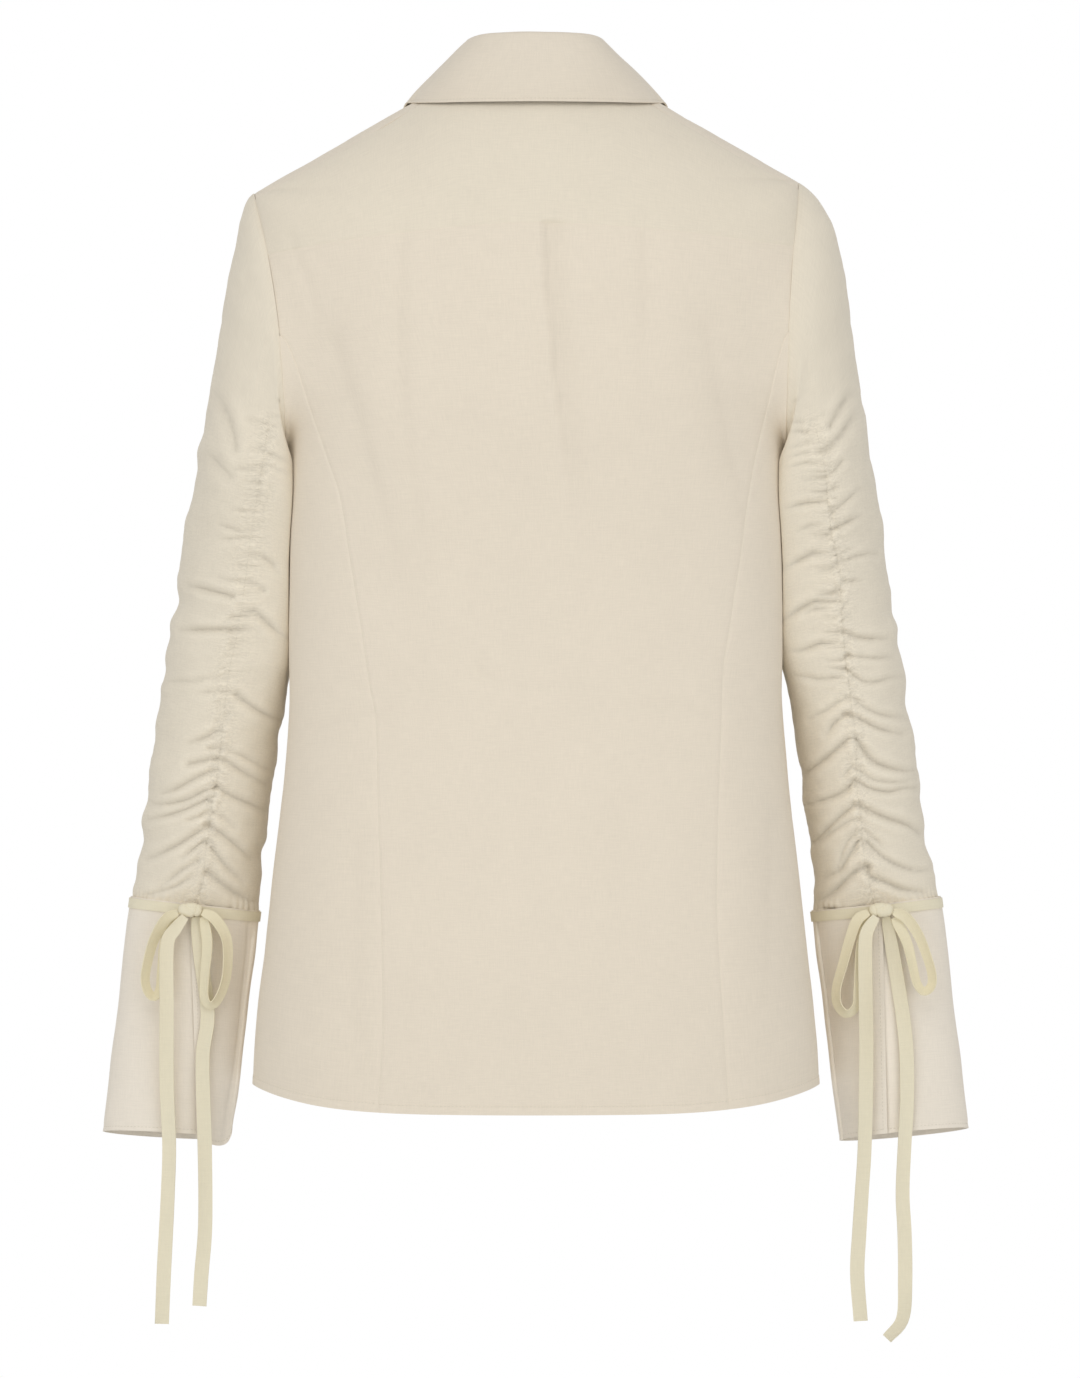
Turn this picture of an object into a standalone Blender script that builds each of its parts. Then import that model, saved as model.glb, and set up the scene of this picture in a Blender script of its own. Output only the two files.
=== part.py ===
import bpy
import bmesh
from math import acos, asin, cos, pi, radians, sin, sqrt
from mathutils import Matrix, Vector

# Walls of cloth and ribbon, and the gap left at every seam.
BODY_WALL = 0.0010
CUFF_WALL = 0.0014
COLLAR_WALL = 0.0013
RIBBON_WALL = 0.0010
SEAM = 0.0003

# The neck seam at the centre back is the level of the origin. The wearer faces -Y, left is +X.
HEM_BACK = -0.705
HEM_FRONT = -0.700
HEM_SIDE = -0.688
HEM_CURVE = 4.5
UNDERARM = -0.245

# Body below the arms: half width and depth of the side seam at each level.
BODY = {
    "at":   (-0.705, -0.672, -0.637, -0.581, -0.525, -0.469, -0.413, -0.320, -0.245),
    "half": (0.1985, 0.1970, 0.1943, 0.1877, 0.1817, 0.1754, 0.1715, 0.1722, 0.1740),
    "side": (0.0040, 0.0040, 0.0045, 0.0055, 0.0070, 0.0090, 0.0110, 0.0120, 0.0080),
}

# Depth of the centre back and centre front lines.
BACK_LINE = {
    "at":    (-0.705, -0.620, -0.520, -0.420, -0.350, -0.270, -0.200, -0.140, -0.090, -0.050, -0.020,
              0.012),
    "depth": (0.1150, 0.1180, 0.1065, 0.0940, 0.0920, 0.0985, 0.1060, 0.1055, 0.0975, 0.0830, 0.0670,
              0.0430),
}
FRONT_LINE = {
    "at":    (-0.705, -0.620, -0.520, -0.420, -0.350, -0.280, -0.220, -0.160, -0.120, -0.085, -0.052,
              -0.020, 0.012),
    "depth": (-0.1080, -0.1110, -0.1080, -0.1020, -0.1050, -0.1180, -0.1250, -0.1170, -0.1050, -0.0915,
              -0.0700, -0.0550, -0.0300),
}

# Depth the slices fall to beside the armholes.
FLANK = {
    "at":    (-0.245, -0.237, -0.220, -0.190, -0.150, -0.100, -0.060, -0.020, 0.012),
    "back":  (0.0080, 0.0088, 0.0170, 0.0350, 0.0450, 0.0360, 0.0180, 0.0040, 0.0000),
    "front": (0.0080, 0.0070, -0.0080, -0.0300, -0.0410, -0.0320, -0.0160, -0.0030, 0.0000),
}

# Shoulder ridge: a straight slope from the neck out to the sleeve.
RIDGE_X = 0.0963
RIDGE_Z = -0.0070
RIDGE_FALL = 0.57
RIDGE_SOFT = 0.050

# Armholes: the tip is where the sleeve seam crosses the ridge, "head" the fullness of the sleeve head.
SIDES = {
    "left":  {"sign": 1.0, "tip": 0.197, "head": 0.022},
    "right": {"sign": -1.0, "tip": 0.184, "head": 0.042},
}
ARM_DEPTH = {"back": 0.052, "front": -0.048}
ARM_CUT_IN = {"back": 0.0, "front": 0.010}
ARM_STEP = 20
ARM_TURN_IN = 28.0

# Neck opening.
NECK_SIDE = 0.0640
NECK_FRONT_X = 0.0280
NECK_FRONT_Z = -0.0520
NECK_SEAM_X = 0.0580
NECK_BACK_Z = 0.0020
NECK_BACK_RISE = 0.0094

# Curved back seams, one column for each side.
BACK_SEAM = {
    "at":    (-0.705, -0.630, -0.560, -0.495, -0.440, -0.405, -0.365, -0.320, -0.280, -0.248, -0.215,
              -0.172),
    "left":  (0.1105, 0.1055, 0.1068, 0.1089, 0.1102, 0.1158, 0.1218, 0.1288, 0.1350, 0.1455, 0.1575,
              0.1735),
    "right": (0.1350, 0.1290, 0.1250, 0.1262, 0.1282, 0.1292, 0.1348, 0.1422, 0.1482, 0.1535, 0.1610,
              0.1720),
}

# Soft pleat that starts under the yoke and fades out down the back.
PLEAT = {
    "at":   (-0.400, -0.329, -0.245, -0.210, -0.161, -0.090),
    "x":    (-0.0310, -0.0277, -0.0186, -0.0144, -0.0088, -0.0050),
    "deep": (0.0000, 0.0006, 0.0016, 0.0020, 0.0026, 0.0030),
}
PLEAT_HALF = 0.016
YOKE_Z = -0.0905
YOKE_CURVE = 1.6

# Rows of the panels: levels on the side seam, then turns round the armhole in degrees.
SIDE_ROWS = (HEM_SIDE, -0.620, -0.550, -0.480, -0.410, -0.340, -0.285)
FRONT_ROWS = (HEM_FRONT, -0.625, -0.555, -0.485, -0.415, -0.345, -0.290, -0.252, -0.232, -0.212, -0.188,
              -0.158, -0.115)
NECK_TURNS = (90, 66, 42, 18, 0)
LAP = 0.0023

# Button band and buttons.
BAND_WIDTH = 0.026
BAND_EDGE = 0.013
UNDER_EDGE = 0.010
OPEN_FROM = -0.135
BUTTON_RADIUS = 0.0050
BUTTON_THICK = 0.0020
BUTTON_FIRST = -0.150
BUTTON_PITCH = 0.080
BUTTON_COUNT = 7

# Collar, from the centre back (0) to the front end (9): top of the stand, then outer edge of the fall,
# "off" the distance it stands out from the body.
COLLAR = {
    "at":     (0, 1, 2, 3, 4, 5, 6, 7, 8, 9),
    "top_x":  (0.0000, 0.0135, 0.0275, 0.0400, 0.0470, 0.0480, 0.0500, 0.0440, 0.0350, 0.0240),
    "top_y":  (0.0520, 0.0515, 0.0480, 0.0385, 0.0200, 0.0000, -0.0260, -0.0450, -0.0575, -0.0630),
    "top_z":  (0.0405, 0.0407, 0.0408, 0.0400, 0.0375, 0.0350, 0.0190, -0.0030, -0.0190, -0.0260),
    "leaf_x": (0.0000, 0.0215, 0.0430, 0.0640, 0.0830, 0.0925, 0.0960, 0.0930, 0.0800, 0.0620),
    "leaf_z": (-0.0050, -0.0050, -0.0048, -0.0045, -0.0035, -0.0020, -0.0140, -0.0380, -0.0620, -0.0820),
    "off":    (0.0070, 0.0070, 0.0070, 0.0070, 0.0060, 0.0030, 0.0060, 0.0055, 0.0055, 0.0055),
}
CREST = 0.0032
CREST_OUT = 0.0045

# Sleeve tube below the head: outer and inner edge seen from behind, middle depth, half depth.
SLEEVE = {
    "at":     (-0.575, -0.553, -0.525, -0.497, -0.469, -0.441, -0.413, -0.385, -0.357, -0.329, -0.301,
               -0.273, -0.235),
    "left":   (0.2840, 0.2812, 0.2780, 0.2742, 0.2708, 0.2672, 0.2628, 0.2585, 0.2540, 0.2500, 0.2460,
               0.2412, 0.2360),
    "right":  (0.2826, 0.2798, 0.2755, 0.2716, 0.2680, 0.2640, 0.2600, 0.2556, 0.2512, 0.2468, 0.2430,
               0.2384, 0.2330),
    "inner":  (0.1955, 0.1945, 0.1917, 0.1878, 0.1843, 0.1797, 0.1762, 0.1712, 0.1680, 0.1670, 0.1670,
               0.1690, 0.1740),
    "middle": (-0.0380, -0.0380, -0.0370, -0.0355, -0.0345, -0.0345, -0.0350, -0.0360, -0.0365, -0.0350,
               -0.0290, -0.0180, -0.0080),
    "deep":   (0.0270, 0.0300, 0.0340, 0.0375, 0.0405, 0.0430, 0.0450, 0.0470, 0.0490, 0.0510, 0.0535,
               0.0560, 0.0580),
}
CLEAR = 0.0030

# Gathers: level of each fold at the gathered line, at the outer and at the inner edge, and its lift.
GATHERS = {
    "left": {
        "line":  (-0.254, -0.265, -0.277, -0.2905, -0.299, -0.307, -0.322, -0.337, -0.350, -0.364,
                  -0.385, -0.407, -0.424, -0.441, -0.4535, -0.4675, -0.476, -0.486, -0.497, -0.509,
                  -0.5185, -0.528, -0.5445),
        "outer": (-0.242, -0.259, -0.271, -0.2815, -0.2905, -0.298, -0.3165, -0.3345, -0.3535, -0.371,
                  -0.3885, -0.408, -0.4285, -0.452, -0.469, -0.4865, -0.4915, -0.5005, -0.5165, -0.532,
                  -0.538, -0.5435, -0.5515),
        "inner": (-0.260, -0.269, -0.2835, -0.2995, -0.3085, -0.317, -0.332, -0.347, -0.3635, -0.379,
                  -0.3975, -0.420, -0.4395, -0.4575, -0.469, -0.481, -0.490, -0.5005, -0.5165, -0.532,
                  -0.5395, -0.5475, -0.5570),
        "lift":  (0.0, -0.0012, 0.0010, -0.0012, 0.0010, -0.0013, 0.0012, -0.0016, 0.0014, -0.0018,
                  0.0015, -0.0016, 0.0015, -0.0019, 0.0014, -0.0020, 0.0012, -0.0019, 0.0016, -0.0022,
                  0.0015, -0.0020, 0.0010),
    },
    "right": {
        "line":  (-0.247, -0.256, -0.2695, -0.283, -0.293, -0.304, -0.324, -0.344, -0.359, -0.373,
                  -0.385, -0.397, -0.4095, -0.4235, -0.4355, -0.4465, -0.4595, -0.472, -0.483, -0.495,
                  -0.507, -0.5185, -0.5395),
        "outer": (-0.240, -0.2485, -0.2625, -0.273, -0.282, -0.2905, -0.318, -0.3395, -0.3585, -0.3765,
                  -0.3905, -0.404, -0.417, -0.4365, -0.4565, -0.4705, -0.4795, -0.490, -0.502, -0.5145,
                  -0.527, -0.5405, -0.5495),
        "inner": (-0.2585, -0.2655, -0.2745, -0.2870, -0.3059, -0.3283, -0.3465, -0.3654, -0.3759,
                  -0.3857, -0.3962, -0.406, -0.4193, -0.441, -0.4592, -0.4711, -0.480, -0.490, -0.505,
                  -0.520, -0.533, -0.546, -0.5565),
        "lift":  (0.0, -0.0012, 0.0010, -0.0014, 0.0010, -0.0014, 0.0012, -0.0020, 0.0014, -0.0016,
                  0.0013, -0.0015, 0.0014, -0.0017, 0.0013, -0.0020, 0.0013, -0.0018, 0.0014, -0.0021,
                  0.0014, -0.0020, 0.0012),
    },
}
GATHER_TURN = {"at": (-0.560, -0.430, -0.330, -0.250), "turn": (92.0, 88.0, 76.0, 64.0)}

# Cuffs: middle of the top and bottom edge, half width, half depth.
CUFF_TOP = Vector((0.2397, -0.0380, -0.5632))
CUFF_BOTTOM = Vector((0.2597, -0.0450, -0.7245))
CUFF_HALF = 0.0450
CUFF_DEEP = (0.0270, 0.0290)
CUFF_TILT = 0.112
CUFF_DROP = 0.0035
CUFF_LAP = 14.0
CUFF_SLIT = {"left": (94.0, 62.0), "right": (94.0, 74.0)}
CUFF_STEP = 0.0024

# Ties, drawn for the left wrist; the right one is its mirror with its own lengths.
BAND_HIGH = 0.0070
BAND_OFF = 0.0016
KNOT_SIZE = (0.0170, 0.0085, 0.0100)
RIBBON_WIDTH = 0.0100
# Paths from the middle of the knot: x towards the outside of the arm, z up, "off" out from the cuff.
LOOPS = {
    "left": {
        "outer": {
            "x": (0.0088, 0.0170, 0.0256, 0.0305, 0.0318, 0.0300, 0.0256, 0.0214, 0.0200, 0.0170,
                  0.0092),
            "z": (-0.0015, -0.0065, -0.0210, -0.0385, -0.0490, -0.0570, -0.0612, -0.0560, -0.0420,
                  -0.0200, -0.0050),
            "off": (0.0112, 0.0108, 0.0100, 0.0100, 0.0100, 0.0100, 0.0100, 0.0100, 0.0100, 0.0090,
                    0.0072),
        },
        "inner": {
            "x": (-0.0085, -0.0170, -0.0249, -0.0262, -0.0242, -0.0186, -0.0130, -0.0098, -0.0105,
                  -0.0120, -0.0092),
            "z": (-0.0015, -0.0060, -0.0189, -0.0350, -0.0511, -0.0637, -0.0668, -0.0595, -0.0440,
                  -0.0230, -0.0050),
            "off": (0.0114, 0.0112, 0.0105, 0.0105, 0.0105, 0.0105, 0.0105, 0.0105, 0.0105, 0.0100,
                    0.0090),
        },
    },
    "right": {
        "outer": {
            "x": (0.0086, 0.0170, 0.0256, 0.0318, 0.0358, 0.0350, 0.0294, 0.0248, 0.0222, 0.0175,
                  0.0092),
            "z": (-0.0012, -0.0050, -0.0165, -0.0312, -0.0452, -0.0540, -0.0572, -0.0510, -0.0400,
                  -0.0215, -0.0055),
            "off": (0.0116, 0.0118, 0.0110, 0.0105, 0.0105, 0.0105, 0.0105, 0.0105, 0.0102, 0.0092,
                    0.0082),
        },
        "inner": {
            "x": (-0.0088, -0.0165, -0.0217, -0.0266, -0.0312, -0.0301, -0.0238, -0.0175, -0.0161,
                  -0.0140, -0.0092),
            "z": (-0.0015, -0.0070, -0.0207, -0.0382, -0.0557, -0.0670, -0.0728, -0.0670, -0.0530,
                  -0.0260, -0.0050),
            "off": (0.0112, 0.0108, 0.0100, 0.0100, 0.0100, 0.0100, 0.0100, 0.0100, 0.0100, 0.0090,
                    0.0072),
        },
    },
}
TAILS = {
    "left": {
        "outer": {
            "x": (0.0035, 0.0100, 0.0160, 0.0165, 0.0167, 0.0151, 0.0161, 0.0175, 0.0189, 0.0203),
            "z": (-0.0046, -0.0130, -0.0245, -0.0665, -0.1200, -0.1645, -0.1995, -0.2275, -0.2555,
                  -0.2905),
            "off": (0.0130, 0.0148, 0.0155, 0.0150, 0.0090, 0.0070, 0.0065, 0.0060, 0.0060, 0.0060),
        },
        "inner": {
            "x": (-0.0035, -0.0068, -0.0119, -0.0084, -0.0097, -0.0102, -0.0098, -0.0074, -0.0060),
            "z": (-0.0050, -0.0315, -0.0735, -0.1050, -0.1645, -0.1995, -0.2275, -0.2555, -0.2780),
            "off": (0.0058, 0.0046, 0.0046, 0.0046, 0.0050, 0.0050, 0.0050, 0.0050, 0.0050),
        },
    },
    "right": {
        "outer": {
            "x": (0.0035, 0.0085, 0.0170, 0.0185, 0.0168, 0.0154, 0.0168, 0.0172, 0.0155, 0.0045),
            "z": (-0.0050, -0.0300, -0.0865, -0.1295, -0.1650, -0.1990, -0.2270, -0.2600, -0.2870,
                  -0.3010),
            "off": (0.0058, 0.0046, 0.0046, 0.0046, 0.0050, 0.0050, 0.0050, 0.0050, 0.0050, 0.0050),
        },
        "inner": {
            "x": (-0.0035, -0.0090, -0.0112, -0.0109, -0.0102, -0.0112, -0.0133, -0.0150, -0.0164,
                  -0.0140),
            "z": (-0.0046, -0.0130, -0.0230, -0.0592, -0.0998, -0.1640, -0.1990, -0.2270, -0.2550,
                  -0.2885),
            "off": (0.0130, 0.0148, 0.0155, 0.0150, 0.0100, 0.0070, 0.0065, 0.0060, 0.0060, 0.0060),
        },
    },
}

COLOURS = {
    "body": (0.730, 0.670, 0.565, 1.0),
    "sleeve": (0.655, 0.595, 0.485, 1.0),
    "cuff": (0.690, 0.640, 0.560, 1.0),
    "tie": (0.720, 0.650, 0.450, 1.0),
    "button": (0.780, 0.745, 0.660, 1.0),
}


def read(table, name, at):
    keys = table["at"]
    values = table[name]
    if at <= keys[0]:
        return values[0]
    if at >= keys[-1]:
        return values[-1]
    i = max(k for k in range(len(keys) - 1) if keys[k] <= at)

    def slope(k):
        if k == 0 or k == len(keys) - 1:
            j = min(k, len(keys) - 2)
            return (values[j + 1] - values[j]) / (keys[j + 1] - keys[j])
        before = (values[k] - values[k - 1]) / (keys[k] - keys[k - 1])
        after = (values[k + 1] - values[k]) / (keys[k + 1] - keys[k])
        return 0.0 if before * after <= 0 else 2 * before * after / (before + after)

    span = keys[i + 1] - keys[i]
    t = (at - keys[i]) / span
    start = values[i] * (1 + 2 * t) * (1 - t) ** 2 + values[i + 1] * t * t * (3 - 2 * t)
    return start + span * (slope(i) * t * (1 - t) ** 2 - slope(i + 1) * t * t * (1 - t))


def smooth(low, high, value):
    t = min(1.0, max(0.0, (value - low) / (high - low)))
    return t * t * (3 - 2 * t)


def mix(a, b, t):
    return a + (b - a) * t


# Shape of the body as slices: half width and depth at a level, rounded over the shoulder.
def ridge_x(z):
    return RIDGE_X + (RIDGE_Z - z) / RIDGE_FALL


def ridge_z(x):
    return RIDGE_Z - (x - RIDGE_X) * RIDGE_FALL


def tip_z(side):
    return ridge_z(SIDES[side]["tip"])


def arm_part(side, z):
    return (z - UNDERARM) / (tip_z(side) - UNDERARM)


def arm_hole(side, face, turn):
    a = radians(turn)
    part = (1 - cos(a)) / 2
    start = read(BODY, "half", UNDERARM)
    x = start + (SIDES[side]["tip"] - start) * part ** 2.2 - ARM_CUT_IN[face] * sin(a) ** 2
    y = read(BODY, "side", UNDERARM) * (1 - part) + ARM_DEPTH[face] * abs(sin(a)) * (1 + 0.15 * cos(a))
    return x, y, UNDERARM + (tip_z(side) - UNDERARM) * part


def edge(side, face, z):
    top = tip_z(side)
    if z <= UNDERARM:
        return read(BODY, "half", z), read(BODY, "side", z)
    if z < top:
        x, y, level = arm_hole(side, face, math_turn(arm_part(side, z)))
        return x, y
    return ridge_x(z), 0.0


def math_turn(part):
    return acos(min(1.0, max(-1.0, 1 - 2 * part))) * 180 / pi


def reach(side, face, u, z):
    top = tip_z(side)
    if z <= UNDERARM:
        return read(BODY, "half", z)
    arm = SIDES[side]["tip"] + 0.28 * (z - top) if z >= top else edge(side, face, z)[0]
    ridge = ridge_x(z)
    least = min(arm, ridge)
    soft = RIDGE_SOFT * max(0.0, 1 - (u / least) ** 3) * smooth(-0.225, -0.150, z)
    return (arm + ridge - sqrt((arm - ridge) ** 2 + soft * soft)) / 2


def depth(side, face, u, z):
    centre = read(BACK_LINE if face == "back" else FRONT_LINE, "depth", z)
    high = smooth(-0.245, -0.080, z)
    power = mix(2.3, 2.0, high)
    bend = mix(0.476, 0.62, high)
    turn_in = 0.0
    if UNDERARM < z < tip_z(side):
        turn_in = ARM_TURN_IN * sin(pi * arm_part(side, z)) ** 2
    bound = cos(radians(turn_in))
    part = min(1.0, u / reach(side, face, u, z))
    low = (1 - bound ** power) ** bend
    round_off = ((1 - (part * bound) ** power) ** bend - low) / (1 - low)
    flank = edge(side, face, z)[1]
    if z > UNDERARM:
        weight = part ** 8
        flank = flank * weight + read(FLANK, face, z) * (1 - weight)
    return flank + (centre - flank) * round_off


def body(side, face, u, z):
    # One point of the body cloth; u is the distance from the middle, negative across it.
    sign = SIDES[side]["sign"]
    return Vector((sign * u, depth(side, face, abs(u), z), z))


def body_normal(side, face, u, z):
    sign = SIDES[side]["sign"]
    if z > RIDGE_Z - 0.060:
        z = min(z, ridge_z(abs(u)) - 0.0012)
    most = min(edge(side, face, z)[0], reach(side, face, abs(u), z)) * 0.9990
    u = min(max(u, -most), most)
    h = 0.00004
    across = (depth(side, face, abs(u) + h, z) - depth(side, face, abs(abs(u) - h), z)) / (2 * h)
    if u < 0:
        across = -across
    up = (depth(side, face, abs(u), z + h) - depth(side, face, abs(u), z - h)) / (2 * h)
    normal = Vector((-across * sign, 1.0, -up)).normalized()
    return normal if face == "back" else -normal


# Build a closed cloth wall from a grid of points, half the wall to each side of them.
def sheet(name, rows, cols, place, wall, colour, wrap=False, facing=1.0):
    spots = {(i, j): place(i, j) for i in range(rows + 1) for j in range(cols + 1)}

    def normal_at(i, j):
        given = spots[i, j][1]
        if given is not None:
            return given
        left, right = (j - 1, j + 1)
        if wrap:
            left, right = (left % cols, right % cols)
        else:
            left, right = (max(left, 0), min(right, cols))
        across = spots[i, right][0] - spots[i, left][0]
        along = spots[min(i + 1, rows), j][0] - spots[max(i - 1, 0), j][0]
        return across.cross(along).normalized() * facing

    shape = bmesh.new()
    for lift in (0.5, -0.5):
        bmesh.ops.create_grid(shape, x_segments=cols, y_segments=rows, size=1.0,
                              matrix=Matrix.Translation((0.0, 0.0, lift * 0.1)))
    bmesh.ops.bridge_loops(shape, edges=[e for e in shape.edges if len(e.link_faces) == 1])
    if wrap:
        ends = [f for f in shape.faces if all(abs(v.co.x) > 0.999 for v in f.verts)]
        bmesh.ops.delete(shape, geom=ends, context="FACES")
    for vert in shape.verts:
        j = round((vert.co.x + 1) / 2 * cols)
        i = round((vert.co.y + 1) / 2 * rows)
        lift = 0.5 if vert.co.z > 0 else -0.5
        j = j % cols if wrap else j
        vert.co = spots[i, j][0] + normal_at(i, j) * (wall * lift)
    if wrap:
        bmesh.ops.remove_doubles(shape, verts=shape.verts, dist=0.00001)
    return keep(name, shape, colour)


def keep(name, shape, colour):
    bmesh.ops.recalc_face_normals(shape, faces=shape.faces)
    if shape.calc_volume(signed=True) < 0:
        bmesh.ops.reverse_faces(shape, faces=shape.faces)
    mesh = bpy.data.meshes.new(name)
    shape.to_mesh(mesh)
    shape.free()
    piece = bpy.data.objects.new(name, mesh)
    blouse.objects.link(piece)
    paint = bpy.data.materials.new(name)
    paint.use_nodes = True
    shader = paint.node_tree.nodes["Principled BSDF"]
    shader.inputs["Base Color"].default_value = COLOURS[colour]
    shader.inputs["Roughness"].default_value = 0.85
    mesh.materials.append(paint)
    return piece


# Armhole edge as it is cut: straight between its marks, so sleeve and panels meet on one line.
def arm_edge(side, turn):
    face = "back" if turn >= 0 else "front"
    mark = int(abs(turn) // ARM_STEP) * ARM_STEP
    after = min(mark + ARM_STEP, 180)
    first = Vector(arm_hole(side, face, mark))
    second = Vector(arm_hole(side, face, after))
    return first.lerp(second, (abs(turn) - mark) / ARM_STEP if after > mark else 0.0)


def edge_mark(side, turn):
    # Distance from the middle, depth and level of one mark on the armhole.
    spot = arm_edge(side, turn)
    return spot.x, spot.y, spot.z


def mark_normal(side, mark):
    # Mitre between the panel and the first strip of the sleeve.
    flip = Vector((SIDES[side]["sign"], 1.0, 1.0))
    spot = arm_edge(side, mark)
    face = "back" if 0 <= mark < 180 else "front"
    panel = body_normal(side, face, spot.x, spot.z)
    around = sleeve_point(side, 0, mark + ARM_STEP) - sleeve_point(side, 0, mark - ARM_STEP)
    strip = around.cross(sleeve_point(side, 1, mark) - spot).normalized() * flip
    both = (panel + strip).normalized()
    return both / max(0.62, both.dot(panel))


def edge_normal(side, turn):
    # Shared by panel and sleeve, even between two marks of the armhole.
    sign = 1 if turn >= 0 else -1
    mark = int(abs(turn) // ARM_STEP) * ARM_STEP
    t = (abs(turn) - mark) / ARM_STEP
    first = mark_normal(side, sign * mark)
    return first.lerp(mark_normal(side, sign * (mark + ARM_STEP)), t) if t else first


# Levels where the panel rows meet the outer edge, side seam first and then the armhole.
BACK_TURNS = (0, 20, 40, 60, 80, 100, 120)
FRONT_TURNS = (0, -20, -40, -60, -80, -100, -120, -140, -160, -170, -180, 160)
SEAM_TOP = 11


def back_outer(side, i):
    if i < len(SIDE_ROWS):
        z = SIDE_ROWS[i]
        return read(BODY, "half", z), read(BODY, "side", z), z
    return edge_mark(side, BACK_TURNS[i - len(SIDE_ROWS)])


def yoke_raw(x):
    side = "left" if x >= 0 else "right"
    end_x, end_y, end_z = edge_mark(side, 120)
    return YOKE_Z + (end_z - YOKE_Z) * (abs(x) / end_x) ** YOKE_CURVE


def back_fractions(i, x_left, x_right):
    fold = read(PLEAT, "x", back_outer("left", i)[2])
    left = [mix(fold + PLEAT_HALF, x_left, part) for part in (1.0, 0.74, 0.48, 0.24, 0.0)]
    right = [mix(fold - PLEAT_HALF, -x_right, part) for part in (0.0, 0.24, 0.48, 0.74, 1.0)]
    return left + [fold] + right


TOP_ROW = len(SIDE_ROWS) + len(BACK_TURNS) - 1


def yoke_line(x):
    # The yoke seam, straight between the marks of the back panel.
    knots = back_fractions(TOP_ROW, edge_mark("left", 120)[0], edge_mark("right", 120)[0])
    for first, second in zip(knots, knots[1:]):
        if first >= x >= second:
            t = (first - x) / (first - second)
            return mix(yoke_raw(first), yoke_raw(second), t)
    return yoke_raw(x)


def back_level(i, x):
    left = back_outer("left", i)
    right = back_outer("right", i)
    z = mix(right[2], left[2], (x + right[0]) / (left[0] + right[0]))
    near_hem = max(0.0, 1 - (z - HEM_SIDE) / 0.12)
    near_top = max(0.0, 1 - (TOP_ROW - i) / 4)
    wide = min(1.0, abs(x) / (left[0] if x > 0 else right[0]))
    hem = (HEM_BACK - HEM_SIDE) * (1 - wide ** HEM_CURVE)
    top = yoke_line(x) - mix(edge_mark("right", 120)[2], edge_mark("left", 120)[2],
                             (x + edge_mark("right", 120)[0])
                             / (edge_mark("left", 120)[0] + edge_mark("right", 120)[0]))
    return z + near_hem * hem + near_top * top


def back_seam(side, i):
    # Where the curved seam, or above it the armhole, bounds the centre panel.
    outer = back_outer(side, i)
    if i > SEAM_TOP:
        return outer[0]
    if i == SEAM_TOP:
        return outer[0] - 0.0018
    return read(BACK_SEAM, side, outer[2])


def back_spot(side, i, u, lift=0.0, z=None):
    x = SIDES[side]["sign"] * u
    z = back_level(i, x) if z is None else z
    point = body(side, "back", u, z)
    normal = body_normal(side, "back", u, z)
    return point + normal * lift, normal


def pleat_dip(x, z):
    away = (x - read(PLEAT, "x", z)) / PLEAT_HALF
    deep = read(PLEAT, "deep", z)
    return deep * (0.35 * (abs(away) > 0.5) - (abs(away) <= 0.5)) if abs(away) < 1.1 else 0.0


def place_back(i, j):
    x = back_fractions(i, back_seam("left", i) - SEAM / 2, back_seam("right", i) - SEAM / 2)[j]
    side = "left" if x >= 0 else "right"
    at_edge = j in (0, 10) and i > SEAM_TOP
    dip = pleat_dip(x, back_level(i, x)) if i < TOP_ROW else 0.0
    z = back_level(i, x) - (SEAM / 2 if i == TOP_ROW else 0.0)
    point, normal = back_spot(side, i, abs(x), dip, z)
    if at_edge:
        mark = edge_mark(side, BACK_TURNS[i - len(SIDE_ROWS)])
        down = SEAM / 2 if i == TOP_ROW else 0.0
        point = Vector((SIDES[side]["sign"] * mark[0], mark[1], mark[2] - down))
        normal = edge_normal(side, BACK_TURNS[i - len(SIDE_ROWS)])
    return point, normal


def side_back(side):
    def place(i, j):
        outer = back_outer(side, i)
        inner = back_seam(side, i) + SEAM / 2
        first = asin(min(1.0, inner / outer[0]))
        u = outer[0] * sin(mix(first, pi / 2, j / 4))
        if i == SEAM_TOP:
            u = mix(inner, outer[0], j / 4)
        point, normal = back_spot(side, i, u)
        if j == 4:
            point = Vector((SIDES[side]["sign"] * outer[0], outer[1], outer[2]))
            if i <= len(SIDE_ROWS):
                point.y += SEAM / 2
            if i >= len(SIDE_ROWS):
                normal = edge_normal(side, BACK_TURNS[i - len(SIDE_ROWS)])
        return point, normal
    sheet("side_back_" + side, SEAM_TOP, 4, place, BODY_WALL, "body")


# Yoke: bottom on the yoke seam, top on the shoulder seams and the back of the neck.
YOKE_PARTS = (1.0, 0.82, 0.66, 0.52, 0.39, 0.27, 0.16, 0.07)


def seam_level(side, x):
    # Shoulder seam, a little behind the ridge.
    end_x, end_y, end_z = edge_mark(side, 160)
    t = min(1.0, max(0.0, (x - NECK_SEAM_X) / (end_x - NECK_SEAM_X)))
    start = ridge_z(NECK_SEAM_X) - neck_back(NECK_SEAM_X)
    stop = ridge_z(end_x) - end_z
    return ridge_z(x) - mix(start, stop, t) - 0.002 * sin(pi * t)


def neck_back(x):
    return NECK_BACK_Z + NECK_BACK_RISE * (x / NECK_SIDE) ** 2


def seam_x(side, part):
    return mix(NECK_SEAM_X, edge_mark(side, 160)[0], part)


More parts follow.
